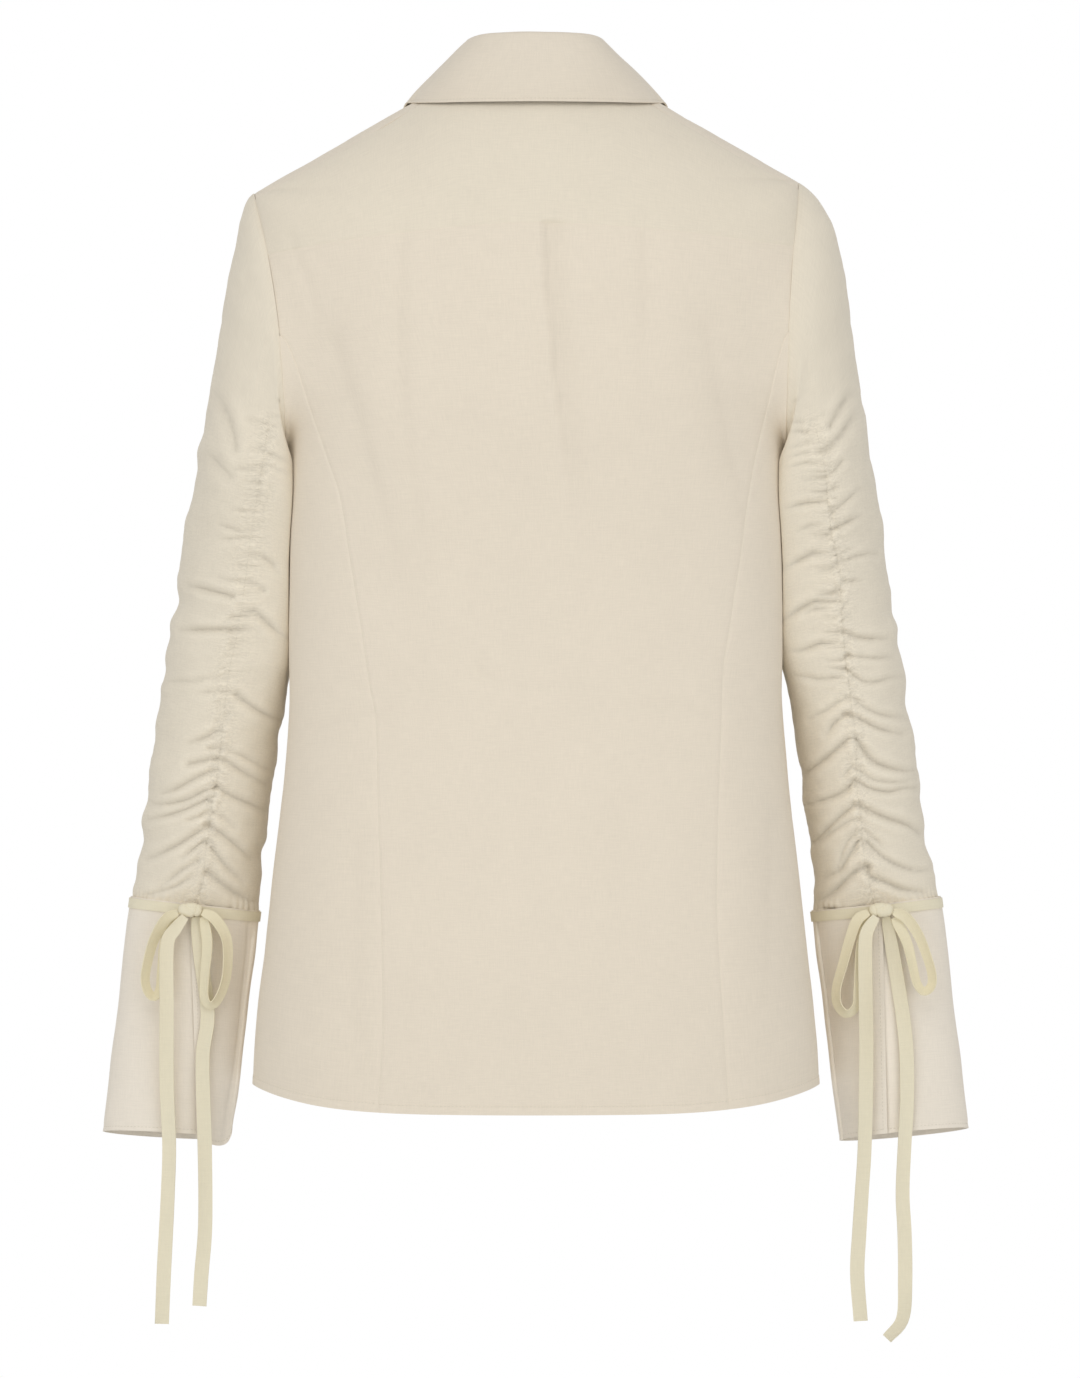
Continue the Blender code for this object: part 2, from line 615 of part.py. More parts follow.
def place_yoke(i, j):
    side = "left" if j <= 12 else "right"
    k = j if j <= 12 else 24 - j
    if k < 8:
        top_x = seam_x(side, YOKE_PARTS[k])
        top_z = seam_level(side, top_x) - SEAM / 2
    else:
        top_x = NECK_SEAM_X * (12 - k) / 4
        top_z = neck_back(top_x) - (SEAM / 2 if k == 8 else 0.0)
    low_x = top_x * edge_mark(side, 120)[0] / edge_mark(side, 160)[0]
    sign = SIDES[side]["sign"]
    low_z = yoke_line(sign * low_x) + SEAM / 2
    t = (0.0, 0.30, 0.58, 0.82, 1.0)[i]
    u = mix(low_x, top_x, t)
    z = mix(low_z, top_z, t)
    point = body(side, "back", u, z)
    normal = body_normal(side, "back", u, z)
    if k == 0:
        mark = edge_mark(side, (120, 130, 140, 150, 160)[i])
        point = Vector((sign * mark[0], mark[1], mark[2]))
        point.z += SEAM / 2 if i == 0 else 0.0
        point.y += SEAM / 2 if i == 4 else 0.0
        normal = edge_normal(side, (120, 130, 140, 150, 160)[i])
    return point, normal


# Fronts: from the edge at the middle to side seam and armhole, last row behind the ridge.
def front_edge(side, z):
    # Left of the middle is positive for each side's own half.
    opened = smooth(OPEN_FROM, NECK_FRONT_Z, z)
    shut = -UNDER_EDGE if side == "left" else -BAND_EDGE
    return mix(shut, NECK_FRONT_X, opened)


def front_inner(side, i):
    if i < len(FRONT_ROWS):
        z = FRONT_ROWS[i]
        return front_edge(side, z), z
    if i < len(FRONT_ROWS) + len(NECK_TURNS):
        a = radians(NECK_TURNS[i - len(FRONT_ROWS)])
        x = NECK_FRONT_X + (NECK_SIDE - NECK_FRONT_X) * cos(a) ** 0.9
        z = ridge_z(NECK_SIDE) + (NECK_FRONT_Z - ridge_z(NECK_SIDE)) * sin(a)
        return x, z
    return NECK_SEAM_X, neck_back(NECK_SEAM_X) + SEAM / 2


def front_outer(side, i):
    if i < len(SIDE_ROWS):
        z = SIDE_ROWS[i]
        return read(BODY, "half", z), read(BODY, "side", z), z
    return edge_mark(side, FRONT_TURNS[i - len(SIDE_ROWS)])


FRONT_TOP = len(SIDE_ROWS) + len(FRONT_TURNS) - 1
FRONT_COLS = 8
SEAM_PARTS = (0.0, 0.07, 0.16, 0.27, 0.39, 0.52, 0.66, 0.82, 1.0)


def front_spot(side, i, j):
    inner_u, inner_z = front_inner(side, i)
    outer = front_outer(side, i)
    sign = SIDES[side]["sign"]
    last = i == FRONT_TOP
    if last:
        u = seam_x(side, SEAM_PARTS[j])
        z = seam_level(side, u) + SEAM / 2
        z = inner_z if j == 0 else z
        point = body(side, "back", u, z)
        normal = body_normal(side, "back", u, z)
        if j == FRONT_COLS:
            point = Vector((sign * outer[0], outer[1] - SEAM / 2, outer[2]))
            normal = edge_normal(side, 160)
        return point, normal
    width = BAND_WIDTH if i < len(FRONT_ROWS) else BAND_WIDTH * 0.8
    if j == 0:
        u = inner_u
    else:
        first = asin(min(1.0, (inner_u + width) / outer[0]))
        u = outer[0] * sin(mix(first, pi / 2, (j - 1) / (FRONT_COLS - 1)))
        if i >= len(SIDE_ROWS) + 3:
            even = mix(inner_u + width, outer[0], (j - 1) / (FRONT_COLS - 1))
            u = mix(u, even, min(1.0, (i - len(SIDE_ROWS) - 2) / 4))
    t = (u - inner_u) / (outer[0] - inner_u)
    z = mix(inner_z, outer[2], t ** HEM_CURVE if i == 0 else t)
    point = body(side, "front", u, z)
    normal = body_normal(side, "front", u, z)
    if side == "left":
        under = 1 - smooth(0.013, 0.045, u)
        under = under * (1 - smooth(-0.085, -0.060, z))
        point = point - normal * (LAP * under)
    if j == FRONT_COLS:
        point = Vector((sign * outer[0], outer[1], outer[2]))
        if i <= len(SIDE_ROWS):
            point.y -= SEAM / 2
        if i >= len(SIDE_ROWS):
            normal = edge_normal(side, FRONT_TURNS[i - len(SIDE_ROWS)])
    return point, normal


def front(side):
    sheet("front_" + side, FRONT_TOP, FRONT_COLS, lambda i, j: front_spot(side, i, j), BODY_WALL, "body")


def button_band():
    lift = BODY_WALL + SEAM

    def place(i, j):
        point, normal = front_spot("right", i, 0)
        if j:
            u, z = front_inner("right", i)
            other, other_normal = front_spot("right", i, 1)
            point = point.lerp(other, 0.96)
            normal = other_normal
        return point + normal * lift, normal
    sheet("button_band", len(FRONT_ROWS), 1, place, BODY_WALL, "body")


def band_middle(i):
    first = front_spot("right", i, 0)[0]
    other = first.lerp(front_spot("right", i, 1)[0], 0.96)
    return first.lerp(other, (0.0 - first.x) / (other.x - first.x)), other - first


def button(number):
    z = BUTTON_FIRST - BUTTON_PITCH * number
    i = max(k for k in range(len(FRONT_ROWS)) if FRONT_ROWS[k] <= z)
    low, across = band_middle(i)
    high = band_middle(i + 1)[0]
    point = low.lerp(high, (z - low.z) / (high.z - low.z))
    normal = across.cross(high - low).normalized()
    normal = -normal if normal.y > 0 else normal
    shape = bmesh.new()
    made = bmesh.ops.create_cone(shape, cap_ends=True, segments=10, radius1=BUTTON_RADIUS,
                                 radius2=BUTTON_RADIUS, depth=BUTTON_THICK)["verts"]
    turn = Vector((0, 0, 1)).rotation_difference(normal).to_matrix()
    off = BODY_WALL * 1.5 + SEAM * 2 + BUTTON_THICK / 2
    for vert in made:
        if vert.co.z > 0:
            vert.co.xy *= 0.86
        vert.co = turn @ vert.co + point + normal * off
    keep("button_" + str(number + 1), shape, "button")


# Collar stand on the neck seam, and the fall folded over it.
def neck_spot(k):
    # Marks 0 to 9 from the centre back to the front end, negative on the right.
    side = "left" if k >= 0 else "right"
    k = abs(k)
    if k <= 4:
        u = NECK_SEAM_X * k / 4
        z = neck_back(u)
        return body(side, "back", u, z), body_normal(side, "back", u, z)
    i = len(FRONT_ROWS) + (9 - k)
    u, z = front_inner(side, i)
    return body(side, "front", u, z), body_normal(side, "front", u, z)


def collar_top(k):
    sign = 1.0 if k >= 0 else -1.0
    k = abs(k)
    return Vector((sign * read(COLLAR, "top_x", k), read(COLLAR, "top_y", k), read(COLLAR, "top_z", k)))


def collar_leaf(k):
    side = "left" if k >= 0 else "right"
    face = "back" if abs(k) <= 5 else "front"
    k = abs(k)
    x = read(COLLAR, "leaf_x", k)
    z = read(COLLAR, "leaf_z", k)
    point = body(side, face, x, z)
    point.y += read(COLLAR, "off", k) * (1.0 if face == "back" else -1.0)
    return point


def outward(k):
    # Level direction away from the neck.
    ahead = collar_top(min(9, k + 0.3)) - collar_top(max(-9, k - 0.3))
    way = Vector((ahead.y, -ahead.x, 0.0)).normalized()
    middle = collar_top(k) - Vector((0.0, -0.006, 0.0))
    return way if way.x * middle.x + way.y * middle.y > 0 else -way


def place_stand(i, j):
    k = j - 9
    base, normal = neck_spot(k)
    top = collar_top(k)
    rise = (top - base).normalized()
    base = base + rise * (BODY_WALL * 0.5 + SEAM + 0.0005)
    point = base.lerp(top, i / 2)
    if i == 1:
        point += outward(k) * 0.0012
    return point, None


def place_fall(i, j):
    k = j - 9
    top = collar_top(k)
    leaf = collar_leaf(k)
    out = outward(k)
    run = (collar_top(min(9, k + 0.5)) - collar_top(max(-9, k - 0.5))).normalized()
    up = run.cross(out).normalized()
    up = up if up.z > 0 else -up
    start = top + up * (SEAM + 0.0009)
    crest = top + up * CREST + out * 0.0014
    over = top + up * (CREST - 0.0012) + out * CREST_OUT
    if i == 0:
        return start, None
    if i == 1:
        return crest, None
    if i == 2:
        return over, None
    t = (i - 2) / 3
    return over.lerp(leaf, t) + out * (0.0016 * sin(pi * t)), None


# Sleeves: head from the armhole, then the gathered tube down to the cuff.
HEAD_STEPS = (0.0, 0.22, 0.46, 0.72)


def clear_of_body(side, x, y, z):
    if z > UNDERARM:
        return x
    face = "back" if y > read(BODY, "side", z) else "front"
    centre = read(BACK_LINE if face == "back" else FRONT_LINE, "depth", z)
    flank = read(BODY, "side", z)
    part = min(1.0, abs((y - flank) / (centre - flank)))
    wide = read(BODY, "half", z) * (1 - part ** (1 / 0.476)) ** (1 / 2.3)
    least = wide + CLEAR * min(1.0, (UNDERARM - z) / 0.020)
    soft = 0.004
    return (x + least + sqrt((x - least) ** 2 + soft * soft)) / 2


def tube(side, turn, z):
    a = radians(turn)
    outer = read(SLEEVE, side, z)
    inner = read(SLEEVE, "inner", z)
    x = (outer + inner) / 2 - (outer - inner) / 2 * cos(a)
    y = read(SLEEVE, "middle", z) + read(SLEEVE, "deep", z) * sin(a)
    return Vector((clear_of_body(side, x, y, z), y, z))


def fold_level(side, k, turn):
    table = GATHERS[side]
    line, outer, inner = (table[name][k] for name in ("line", "outer", "inner"))
    start = read(GATHER_TURN, "turn", line)
    if start <= turn <= 180:
        return mix(line, outer, (turn - start) / (180 - start))
    if turn < start:
        return mix(line, inner, (start - turn) / start)
    return mix(outer, inner, (1 - cos(pi * (turn - 180) / 180)) / 2)


def fold_lift(side, k, turn):
    lift = GATHERS[side]["lift"][k]
    return lift * (1.0 if turn <= 180 else 1 - 0.65 * sin(pi * (turn - 180) / 180))


def cuff_edge(turn, t):
    a = radians(turn)
    middle = CUFF_TOP.lerp(CUFF_BOTTOM, t)
    x = middle.x - CUFF_HALF * cos(a)
    y = middle.y + mix(CUFF_DEEP[0], CUFF_DEEP[1], t) * sin(a)
    z = middle.z - CUFF_TILT * CUFF_HALF * cos(a) + CUFF_DROP * sin(a) * t
    return Vector((x, y, z))


def sleeve_point(side, i, turn):
    turn = turn % 360
    start = arm_edge(side, turn if turn <= 180 else turn - 360)
    if i < len(HEAD_STEPS):
        end = tube(side, turn, fold_level(side, 0, turn))
        a = radians(turn)
        upper = (1 - cos(a)) / 2
        way = Vector((0.85, 0.30 * sin(a), mix(-0.05, -0.50, min(1.0, upper * 3)))).normalized()
        first = start + way * mix(0.0085, SIDES[side]["head"], upper ** 0.7)
        second = end + Vector((-0.14, 0.10, 0.98)) * ((end - start).length * mix(0.30, 0.50, upper))
        t = HEAD_STEPS[i]
        curve = start * (1 - t) ** 3 + first * (3 * t * (1 - t) ** 2)
        point = curve + second * (3 * t * t * (1 - t)) + end * t ** 3
        if i == 0:
            point = start
        elif point.z < UNDERARM:
            point.x = clear_of_body(side, point.x, point.y, point.z)
        return point
    k = i - len(HEAD_STEPS)
    if k < len(GATHERS[side]["line"]):
        z = fold_level(side, k, turn)
        point = tube(side, turn, z)
        away = Vector((-cos(radians(turn)), 1.1 * sin(radians(turn)), 0.0)).normalized()
        return point + away * fold_lift(side, k, turn)
    return cuff_edge(turn, 0.0) + Vector((0.0, 0.0, SEAM * 1.5))


def sleeve(side):
    sign = SIDES[side]["sign"]
    rows = len(HEAD_STEPS) + len(GATHERS[side]["line"])
    flip = Vector((sign, 1.0, 1.0))

    def place(i, j):
        turn = j * 360 / 18
        point = sleeve_point(side, i, turn) * flip
        if i:
            return point, None
        normal = edge_normal(side, turn if turn < 180 else turn - 360)
        around = sleeve_point(side, 0, turn + ARM_STEP) - sleeve_point(side, 0, turn - ARM_STEP)
        away = (around * flip).cross(normal).normalized()
        ahead = sleeve_point(side, 1, turn) * flip - point
        away = away if away.dot(ahead) > 0 else -away
        return point + away * SEAM, normal
    sheet("sleeve_" + side, rows, 18, place, BODY_WALL, "sleeve", True, sign)


def cuff_lift(j):
    # The lapped end of the cuff stands out by its own wall.
    return CUFF_STEP * (1 - smooth(1.0, 4.0, j))


def cuff_mark(side, j, t):
    return mix(CUFF_SLIT[side][0], CUFF_SLIT[side][1], t) - (360 + CUFF_LAP) * j / 20


def cuff(side):
    sign = SIDES[side]["sign"]
    flip = Vector((sign, 1.0, 1.0))

    def place(i, j):
        t = i / 4
        turn = cuff_mark(side, j, t)
        a = radians(turn)
        lift = cuff_lift(j)
        point = cuff_edge(turn, t)
        away = Vector((-cos(a) * CUFF_DEEP[0], sin(a) * CUFF_HALF, 0.0)).normalized()
        if i == 0:
            point.z -= SEAM
        return (point + away * lift) * flip, None
    sheet("cuff_" + side, 4, 20, place, CUFF_WALL, "cuff")


def out_of_cuff(turn):
    a = radians(turn)
    return Vector((-cos(a) * CUFF_DEEP[0], sin(a) * CUFF_HALF, 0.0)).normalized()


def tie_band(side):
    flip = Vector((SIDES[side]["sign"], 1.0, 1.0))

    def place(i, j):
        t = 0.006 + BAND_HIGH * i / (CUFF_TOP - CUFF_BOTTOM).length
        turn = cuff_mark(side, j, t)
        lift = {18: CUFF_STEP * 0.5, 19: CUFF_STEP}.get(j, cuff_lift(j))
        return (cuff_edge(turn, t) + out_of_cuff(turn) * (BAND_OFF + lift)) * flip, None
    sheet("tie_band_" + side, 1, 20, place, RIBBON_WALL, "tie", wrap=True)


def knot_middle(side):
    spot = cuff_edge(92.0, 0.025) + out_of_cuff(92.0) * (BAND_OFF + CUFF_STEP)
    return spot + Vector((0.0, RIBBON_WALL * 0.5 + 0.0002 + KNOT_SIZE[1] / 2, 0.0))


def knot(side):
    shape = bmesh.new()
    made = bmesh.ops.create_icosphere(shape, subdivisions=2, radius=1.0)["verts"]
    middle = knot_middle(side)
    for vert in made:
        bulge = vert.co.copy()
        for axis in range(3):
            way = 1 if bulge[axis] > 0 else -1
            bulge[axis] = (abs(bulge[axis]) ** 0.75) * way * KNOT_SIZE[axis] / 2
        vert.co = (bulge + middle) * Vector((SIDES[side]["sign"], 1.0, 1.0))
    keep("tie_knot_" + side, shape, "tie")


def ribbon(name, side, path, width, twist):
    # A flat strip along its path, turned about its own length most in the middle.
    flip = Vector((SIDES[side]["sign"], 1.0, 1.0))
    middle = knot_middle(side)
    spots = []
    for x, z, off in zip(path["x"], path["z"], path["off"]):
        face = cuff_edge(90.0, min(1.0, max(0.0, -z / 0.16)))
        spots.append(Vector((middle.x + x, face.y + off, middle.z + z)))
    last = len(spots) - 1

    def place(i, j):
        a = radians(twist) * sqrt(sin(pi * i / last)) if 0 < i < last else 0.0
        ahead = (spots[min(i + 1, last)] - spots[max(i - 1, 0)]).normalized()
        flat = ahead.cross(Vector((0.0, 1.0, 0.0))).normalized()
        way = flat * cos(a) + Vector((0.0, sin(a), 0.0))
        return (spots[i] + way * (width / 2 * (1 if j else -1))) * flip, None
    sheet(name, last, 1, place, RIBBON_WALL, "tie")


for old in list(bpy.data.objects):
    bpy.data.objects.remove(old, do_unlink=True)
blouse = bpy.data.collections.new("cotton_blouse")
bpy.context.scene.collection.children.link(blouse)

sheet("back_centre", TOP_ROW, 10, place_back, BODY_WALL, "body")
sheet("yoke", 4, 24, place_yoke, BODY_WALL, "body")
sheet("collar_stand", 2, 18, place_stand, COLLAR_WALL, "body")
sheet("collar_fall", 5, 18, place_fall, COLLAR_WALL, "body")
button_band()
for number in range(BUTTON_COUNT):
    button(number)
for side in SIDES:
    side_back(side)
    front(side)
    sleeve(side)
    cuff(side)
    tie_band(side)
    knot(side)
    for which in ("outer", "inner"):
        ribbon("tie_loop_" + side + "_" + which, side, LOOPS[side][which], RIBBON_WIDTH * 0.8, 50.0)
        ribbon("tie_tail_" + side + "_" + which, side, TAILS[side][which], RIBBON_WIDTH, 0.0)
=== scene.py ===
from math import pi, sqrt

import bmesh
import bpy
import numpy as np
from mathutils import Matrix, Vector, noise


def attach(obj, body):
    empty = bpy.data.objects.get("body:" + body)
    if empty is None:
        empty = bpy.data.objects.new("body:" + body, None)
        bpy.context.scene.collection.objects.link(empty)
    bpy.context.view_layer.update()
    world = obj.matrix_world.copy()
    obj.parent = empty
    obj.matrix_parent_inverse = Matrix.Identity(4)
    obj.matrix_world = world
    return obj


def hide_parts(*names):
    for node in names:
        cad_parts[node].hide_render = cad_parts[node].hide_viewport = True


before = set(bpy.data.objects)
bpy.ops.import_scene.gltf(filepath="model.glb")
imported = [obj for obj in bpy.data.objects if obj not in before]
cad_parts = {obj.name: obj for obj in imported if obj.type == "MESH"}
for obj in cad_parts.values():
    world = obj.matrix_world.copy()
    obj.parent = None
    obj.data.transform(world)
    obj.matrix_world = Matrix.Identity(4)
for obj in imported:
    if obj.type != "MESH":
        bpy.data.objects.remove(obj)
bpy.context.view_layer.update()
sides = ("left", "right")
print("frame loaded")


# Small helpers for curves and blends.
def mix(a, b, t):
    return a + (b - a) * t


def ramp(low, high, value):
    t = np.clip((value - low) / (high - low), 0.0, 1.0)
    return t * t * (3 - 2 * t)


def stations(keys, values):
    # A smooth curve through a few stations, level beyond its ends.
    keys, values = np.array(keys, float), np.array(values, float)
    gaps = np.diff(keys)
    rates = np.diff(values) / gaps
    slopes = np.concatenate((rates[:1], np.zeros(len(rates) - 1), rates[-1:]))
    for k in range(1, len(rates)):
        if rates[k - 1] * rates[k] > 0:
            slopes[k] = 2 * rates[k - 1] * rates[k] / (rates[k - 1] + rates[k])

    def at(x):
        x = np.clip(x, keys[0], keys[-1])
        k = np.clip(np.searchsorted(keys, x, side="right") - 1, 0, len(gaps) - 1)
        t = (x - keys[k]) / gaps[k]
        start = values[k] * (1 + 2 * t) * (1 - t) ** 2 + values[k + 1] * t * t * (3 - 2 * t)
        return start + gaps[k] * (slopes[k] * t * (1 - t) ** 2 - slopes[k + 1] * t * t * (1 - t))
    return at


def steps(length, size, fine=(0.0006, 0.0016, 0.0030)):
    # Places along a width, close together at both ends; 0 to 1.
    inner = np.linspace(fine[-1], length - fine[-1], max(2, round(length / size)))
    places = np.concatenate(([0.0], fine[:-1], inner, length - np.array(fine[:-1])[::-1], [length]))
    return places / length


def columns(*parts):
    return np.stack(np.broadcast_arrays(*parts), axis=-1)


def toScene(thing):
    bpy.context.scene.collection.objects.link(thing)


# Camera, level with the middle of the back.
cameraSet = {"x": -0.0030, "away": 6.0, "level": -0.4123, "tall": 0.9646, "sensor": 36.0}
camera = bpy.data.cameras.new("camera")
camera.sensor_fit = "VERTICAL"
camera.sensor_height = cameraSet["sensor"]
camera.lens = cameraSet["sensor"] * cameraSet["away"] / cameraSet["tall"]
camera.clip_end = 60.0
cameraSpot = bpy.data.objects.new("camera", camera)
cameraSpot.location = (cameraSet["x"], cameraSet["away"], cameraSet["level"])
cameraSpot.rotation_euler = (pi / 2, 0.0, pi)
toScene(cameraSpot)
bpy.context.scene.camera = cameraSpot


# The form of the body: half width and depth of the side seam at each level.
bodyForm = {
    "level": (-0.705, -0.672, -0.637, -0.581, -0.525, -0.469, -0.413, -0.320, -0.245),
    "half":  (0.1985, 0.1970, 0.1943, 0.1877, 0.1817, 0.1754, 0.1715, 0.1722, 0.1740),
    "side":  (0.0040, 0.0040, 0.0045, 0.0055, 0.0070, 0.0090, 0.0110, 0.0120, 0.0080),
    "hemBack": -0.705, "hemFront": -0.700, "hemSide": -0.688, "hemCurve": 4.5, "underarm": -0.245,
    "power": 2.3, "bend": 0.476,
}
bodyHalf = stations(bodyForm["level"], bodyForm["half"])
bodySide = stations(bodyForm["level"], bodyForm["side"])
backLine = stations(
    (-0.705, -0.620, -0.520, -0.420, -0.350, -0.270, -0.200, -0.140, -0.090, -0.050, -0.020, 0.012),
    (0.1150, 0.1180, 0.1065, 0.0940, 0.0920, 0.0985, 0.1060, 0.1055, 0.0975, 0.0830, 0.0670, 0.0430))
frontLine = stations(
    (-0.705, -0.620, -0.520, -0.420, -0.350, -0.280, -0.220, -0.160, -0.120, -0.085, -0.052, -0.020,
     0.012),
    (-0.1080, -0.1110, -0.1080, -0.1020, -0.1050, -0.1180, -0.1250, -0.1170, -0.1050, -0.0915,
     -0.0700, -0.0550, -0.0300))
flankLevels = (-0.245, -0.237, -0.220, -0.190, -0.150, -0.100, -0.060, -0.020, 0.012)
flankLine = {
    "back": stations(flankLevels, (0.0080, 0.0088, 0.0170, 0.0350, 0.0450, 0.0360, 0.0180, 0.0040,
                                   0.0000)),
    "front": stations(flankLevels, (0.0080, 0.0070, -0.0080, -0.0300, -0.0410, -0.0320, -0.0160,
                                    -0.0030, 0.0000)),
}
ridge = {"x": 0.0963, "z": -0.0082, "fall": 0.57, "soft": 0.050}
armholes = {
    "left": {"sign": 1.0, "tip": 0.197, "head": 0.022},
    "right": {"sign": -1.0, "tip": 0.184, "head": 0.042},
    "depth": {"back": 0.052, "front": -0.048}, "cutIn": {"back": 0.0, "front": 0.010},
    "turnIn": 28.0,
}
underarm = bodyForm["underarm"]
shoulderTurn = 160.0
bodyCore = np.array((0.0, 0.0, -0.4))


def ridgeX(z):
    return ridge["x"] + (ridge["z"] - z) / ridge["fall"]


def ridgeZ(x):
    return ridge["z"] - (x - ridge["x"]) * ridge["fall"]


def armPart(side, z):
    return np.clip((z - underarm) / (ridgeZ(armholes[side]["tip"]) - underarm), 0.0, 1.0)


def armHole(side, face, turn):
    a = np.radians(turn)
    part = (1 - np.cos(a)) / 2
    start, tip = bodyHalf(underarm), armholes[side]["tip"]
    x = start + (tip - start) * part ** 2.2 - armholes["cutIn"][face] * np.sin(a) ** 2
    y = bodySide(underarm) * (1 - part)
    y = y + armholes["depth"][face] * np.abs(np.sin(a)) * (1 + 0.15 * np.cos(a))
    return x, y, underarm + (ridgeZ(tip) - underarm) * part


def bodyEdge(side, face, z):
    armX, armY, level = armHole(side, face, np.degrees(np.arccos(1 - 2 * armPart(side, z))))
    below, above = z <= underarm, z >= ridgeZ(armholes[side]["tip"])
    x = np.where(below, bodyHalf(z), np.where(above, ridgeX(z), armX))
    return x, np.where(below, bodySide(z), np.where(above, 0.0, armY))


def reach(side, face, u, z):
    tip = armholes[side]["tip"]
    arm = np.where(z >= ridgeZ(tip), tip + 0.28 * (z - ridgeZ(tip)), bodyEdge(side, face, z)[0])
    crest = ridgeX(z)
    soft = np.maximum(0.0, 1 - (u / np.minimum(arm, crest)) ** 3) * ramp(-0.225, -0.150, z)
    both = (arm + crest - np.sqrt((arm - crest) ** 2 + (ridge["soft"] * soft) ** 2)) / 2
    return np.where(z <= underarm, bodyHalf(z), both)


def bodyDepth(side, face, u, z):
    centre = (backLine if face == "back" else frontLine)(z)
    high = ramp(-0.245, -0.080, z)
    power, bend = mix(bodyForm["power"], 2.0, high), mix(bodyForm["bend"], 0.62, high)
    part = armPart(side, z)
    bound = np.cos(np.radians(armholes["turnIn"]) * np.sin(pi * part) ** 2)
    low = np.maximum(0.0, 1 - bound ** power) ** bend
    wide = np.minimum(1.0, u / reach(side, face, u, z))
    full = (np.maximum(0.0, 1 - (wide * bound) ** power) ** bend - low) / (1 - low)
    flank = bodyEdge(side, face, z)[1]
    weight = wide ** (8 + 190 * np.exp(-np.maximum(0.0, z - underarm) / 0.010))
    flank = np.where(z > underarm, flank * weight + flankLine[face](z) * (1 - weight), flank)
    return flank + (centre - flank) * full


def onBody(face, x, z):
    x, z = np.broadcast_arrays(x, z)
    u = np.abs(x)
    y = np.where(x >= 0, bodyDepth("left", face, u, z), bodyDepth("right", face, u, z))
    return columns(x, y, z)


def outerEdge(side, face, v):
    # Side seam from the hem (0) to the underarm (1), then round the armhole by half turns.
    v = np.asarray(v, float)
    level = mix(bodyForm["hemSide"], underarm, np.minimum(v, 1.0))
    armX, armY, armZ = armHole(side, face, np.maximum(0.0, v - 1.0) * 180)
    low = v <= 1.0
    return (np.where(low, bodyHalf(level), armX), np.where(low, bodySide(level), armY),
            np.where(low, level, armZ))


# Cuffs, knots and ribbons share the form of the wrist.
cuffForm = {
    "top": Vector((0.2397, -0.0380, -0.5632)), "bottom": Vector((0.2597, -0.0450, -0.7245)),
    "half": 0.0450, "deep": (0.0270, 0.0290), "tilt": 0.112, "drop": 0.0035, "lap": 14.0,
    "slit": {"left": (94.0, 62.0), "right": (94.0, 74.0)}, "step": 0.0024,
    "hang": {"left": (-0.7268, 0.055), "right": (-0.7262, 0.094)},
}
flips = {"left": np.array((1.0, 1.0, 1.0)), "right": np.array((-1.0, 1.0, 1.0))}


def cuffEdge(turn, t, side=None):
    a = np.radians(turn)
    top, bottom = cuffForm["top"], cuffForm["bottom"]
    swing = cuffForm["half"] * np.cos(a)
    level, tilt = cuffForm["hang"][side] if side else (bottom.z, cuffForm["tilt"])
    return columns(mix(top.x, bottom.x, t) - swing,
                   mix(top.y, bottom.y, t) + mix(*cuffForm["deep"], t) * np.sin(a),
                   mix(top.z, level, t) - mix(cuffForm["tilt"], tilt, t) * swing
                   + cuffForm["drop"] * np.sin(a) * t)


def cuffOut(turn):
    a = np.radians(turn)
    way = columns(-np.cos(a) * cuffForm["deep"][0], np.sin(a) * cuffForm["half"], 0.0)
    return way / np.linalg.norm(way, axis=-1, keepdims=True)


def cuffTurn(side, s, t):
    return mix(*cuffForm["slit"][side], t) - (360 + cuffForm["lap"]) * s


def cuffLift(s):
    # The lapped end stands out by its own wall.
    return cuffForm["step"] * (1 - ramp(0.05, 0.20, s))


# Cloth: a grid of points, moved along its normals by its relief, with a thin wall.
madePieces = {}


def facing(points, core, around):
    if around:
        ring = points[:, :-1]
        across = np.roll(ring, -1, 1) - np.roll(ring, 1, 1)
        across = np.concatenate((across, across[:, :1]), 1)
    else:
        across = np.gradient(points, axis=1)
    normal = np.cross(across, np.gradient(points, axis=0))
    normal /= np.linalg.norm(normal, axis=2, keepdims=True) + 1e-12
    return -normal if np.sum(normal * (points - core)) < 0 else normal


def lengths(points):
    # Mean distance along and across the grid, in metres, for the weave.
    across = np.linalg.norm(np.diff(points, axis=1), axis=2).mean(axis=0)
    along = np.linalg.norm(np.diff(points, axis=0), axis=2).mean(axis=1)
    return (np.concatenate(([0.0], np.cumsum(across))), np.concatenate(([0.0], np.cumsum(along))))


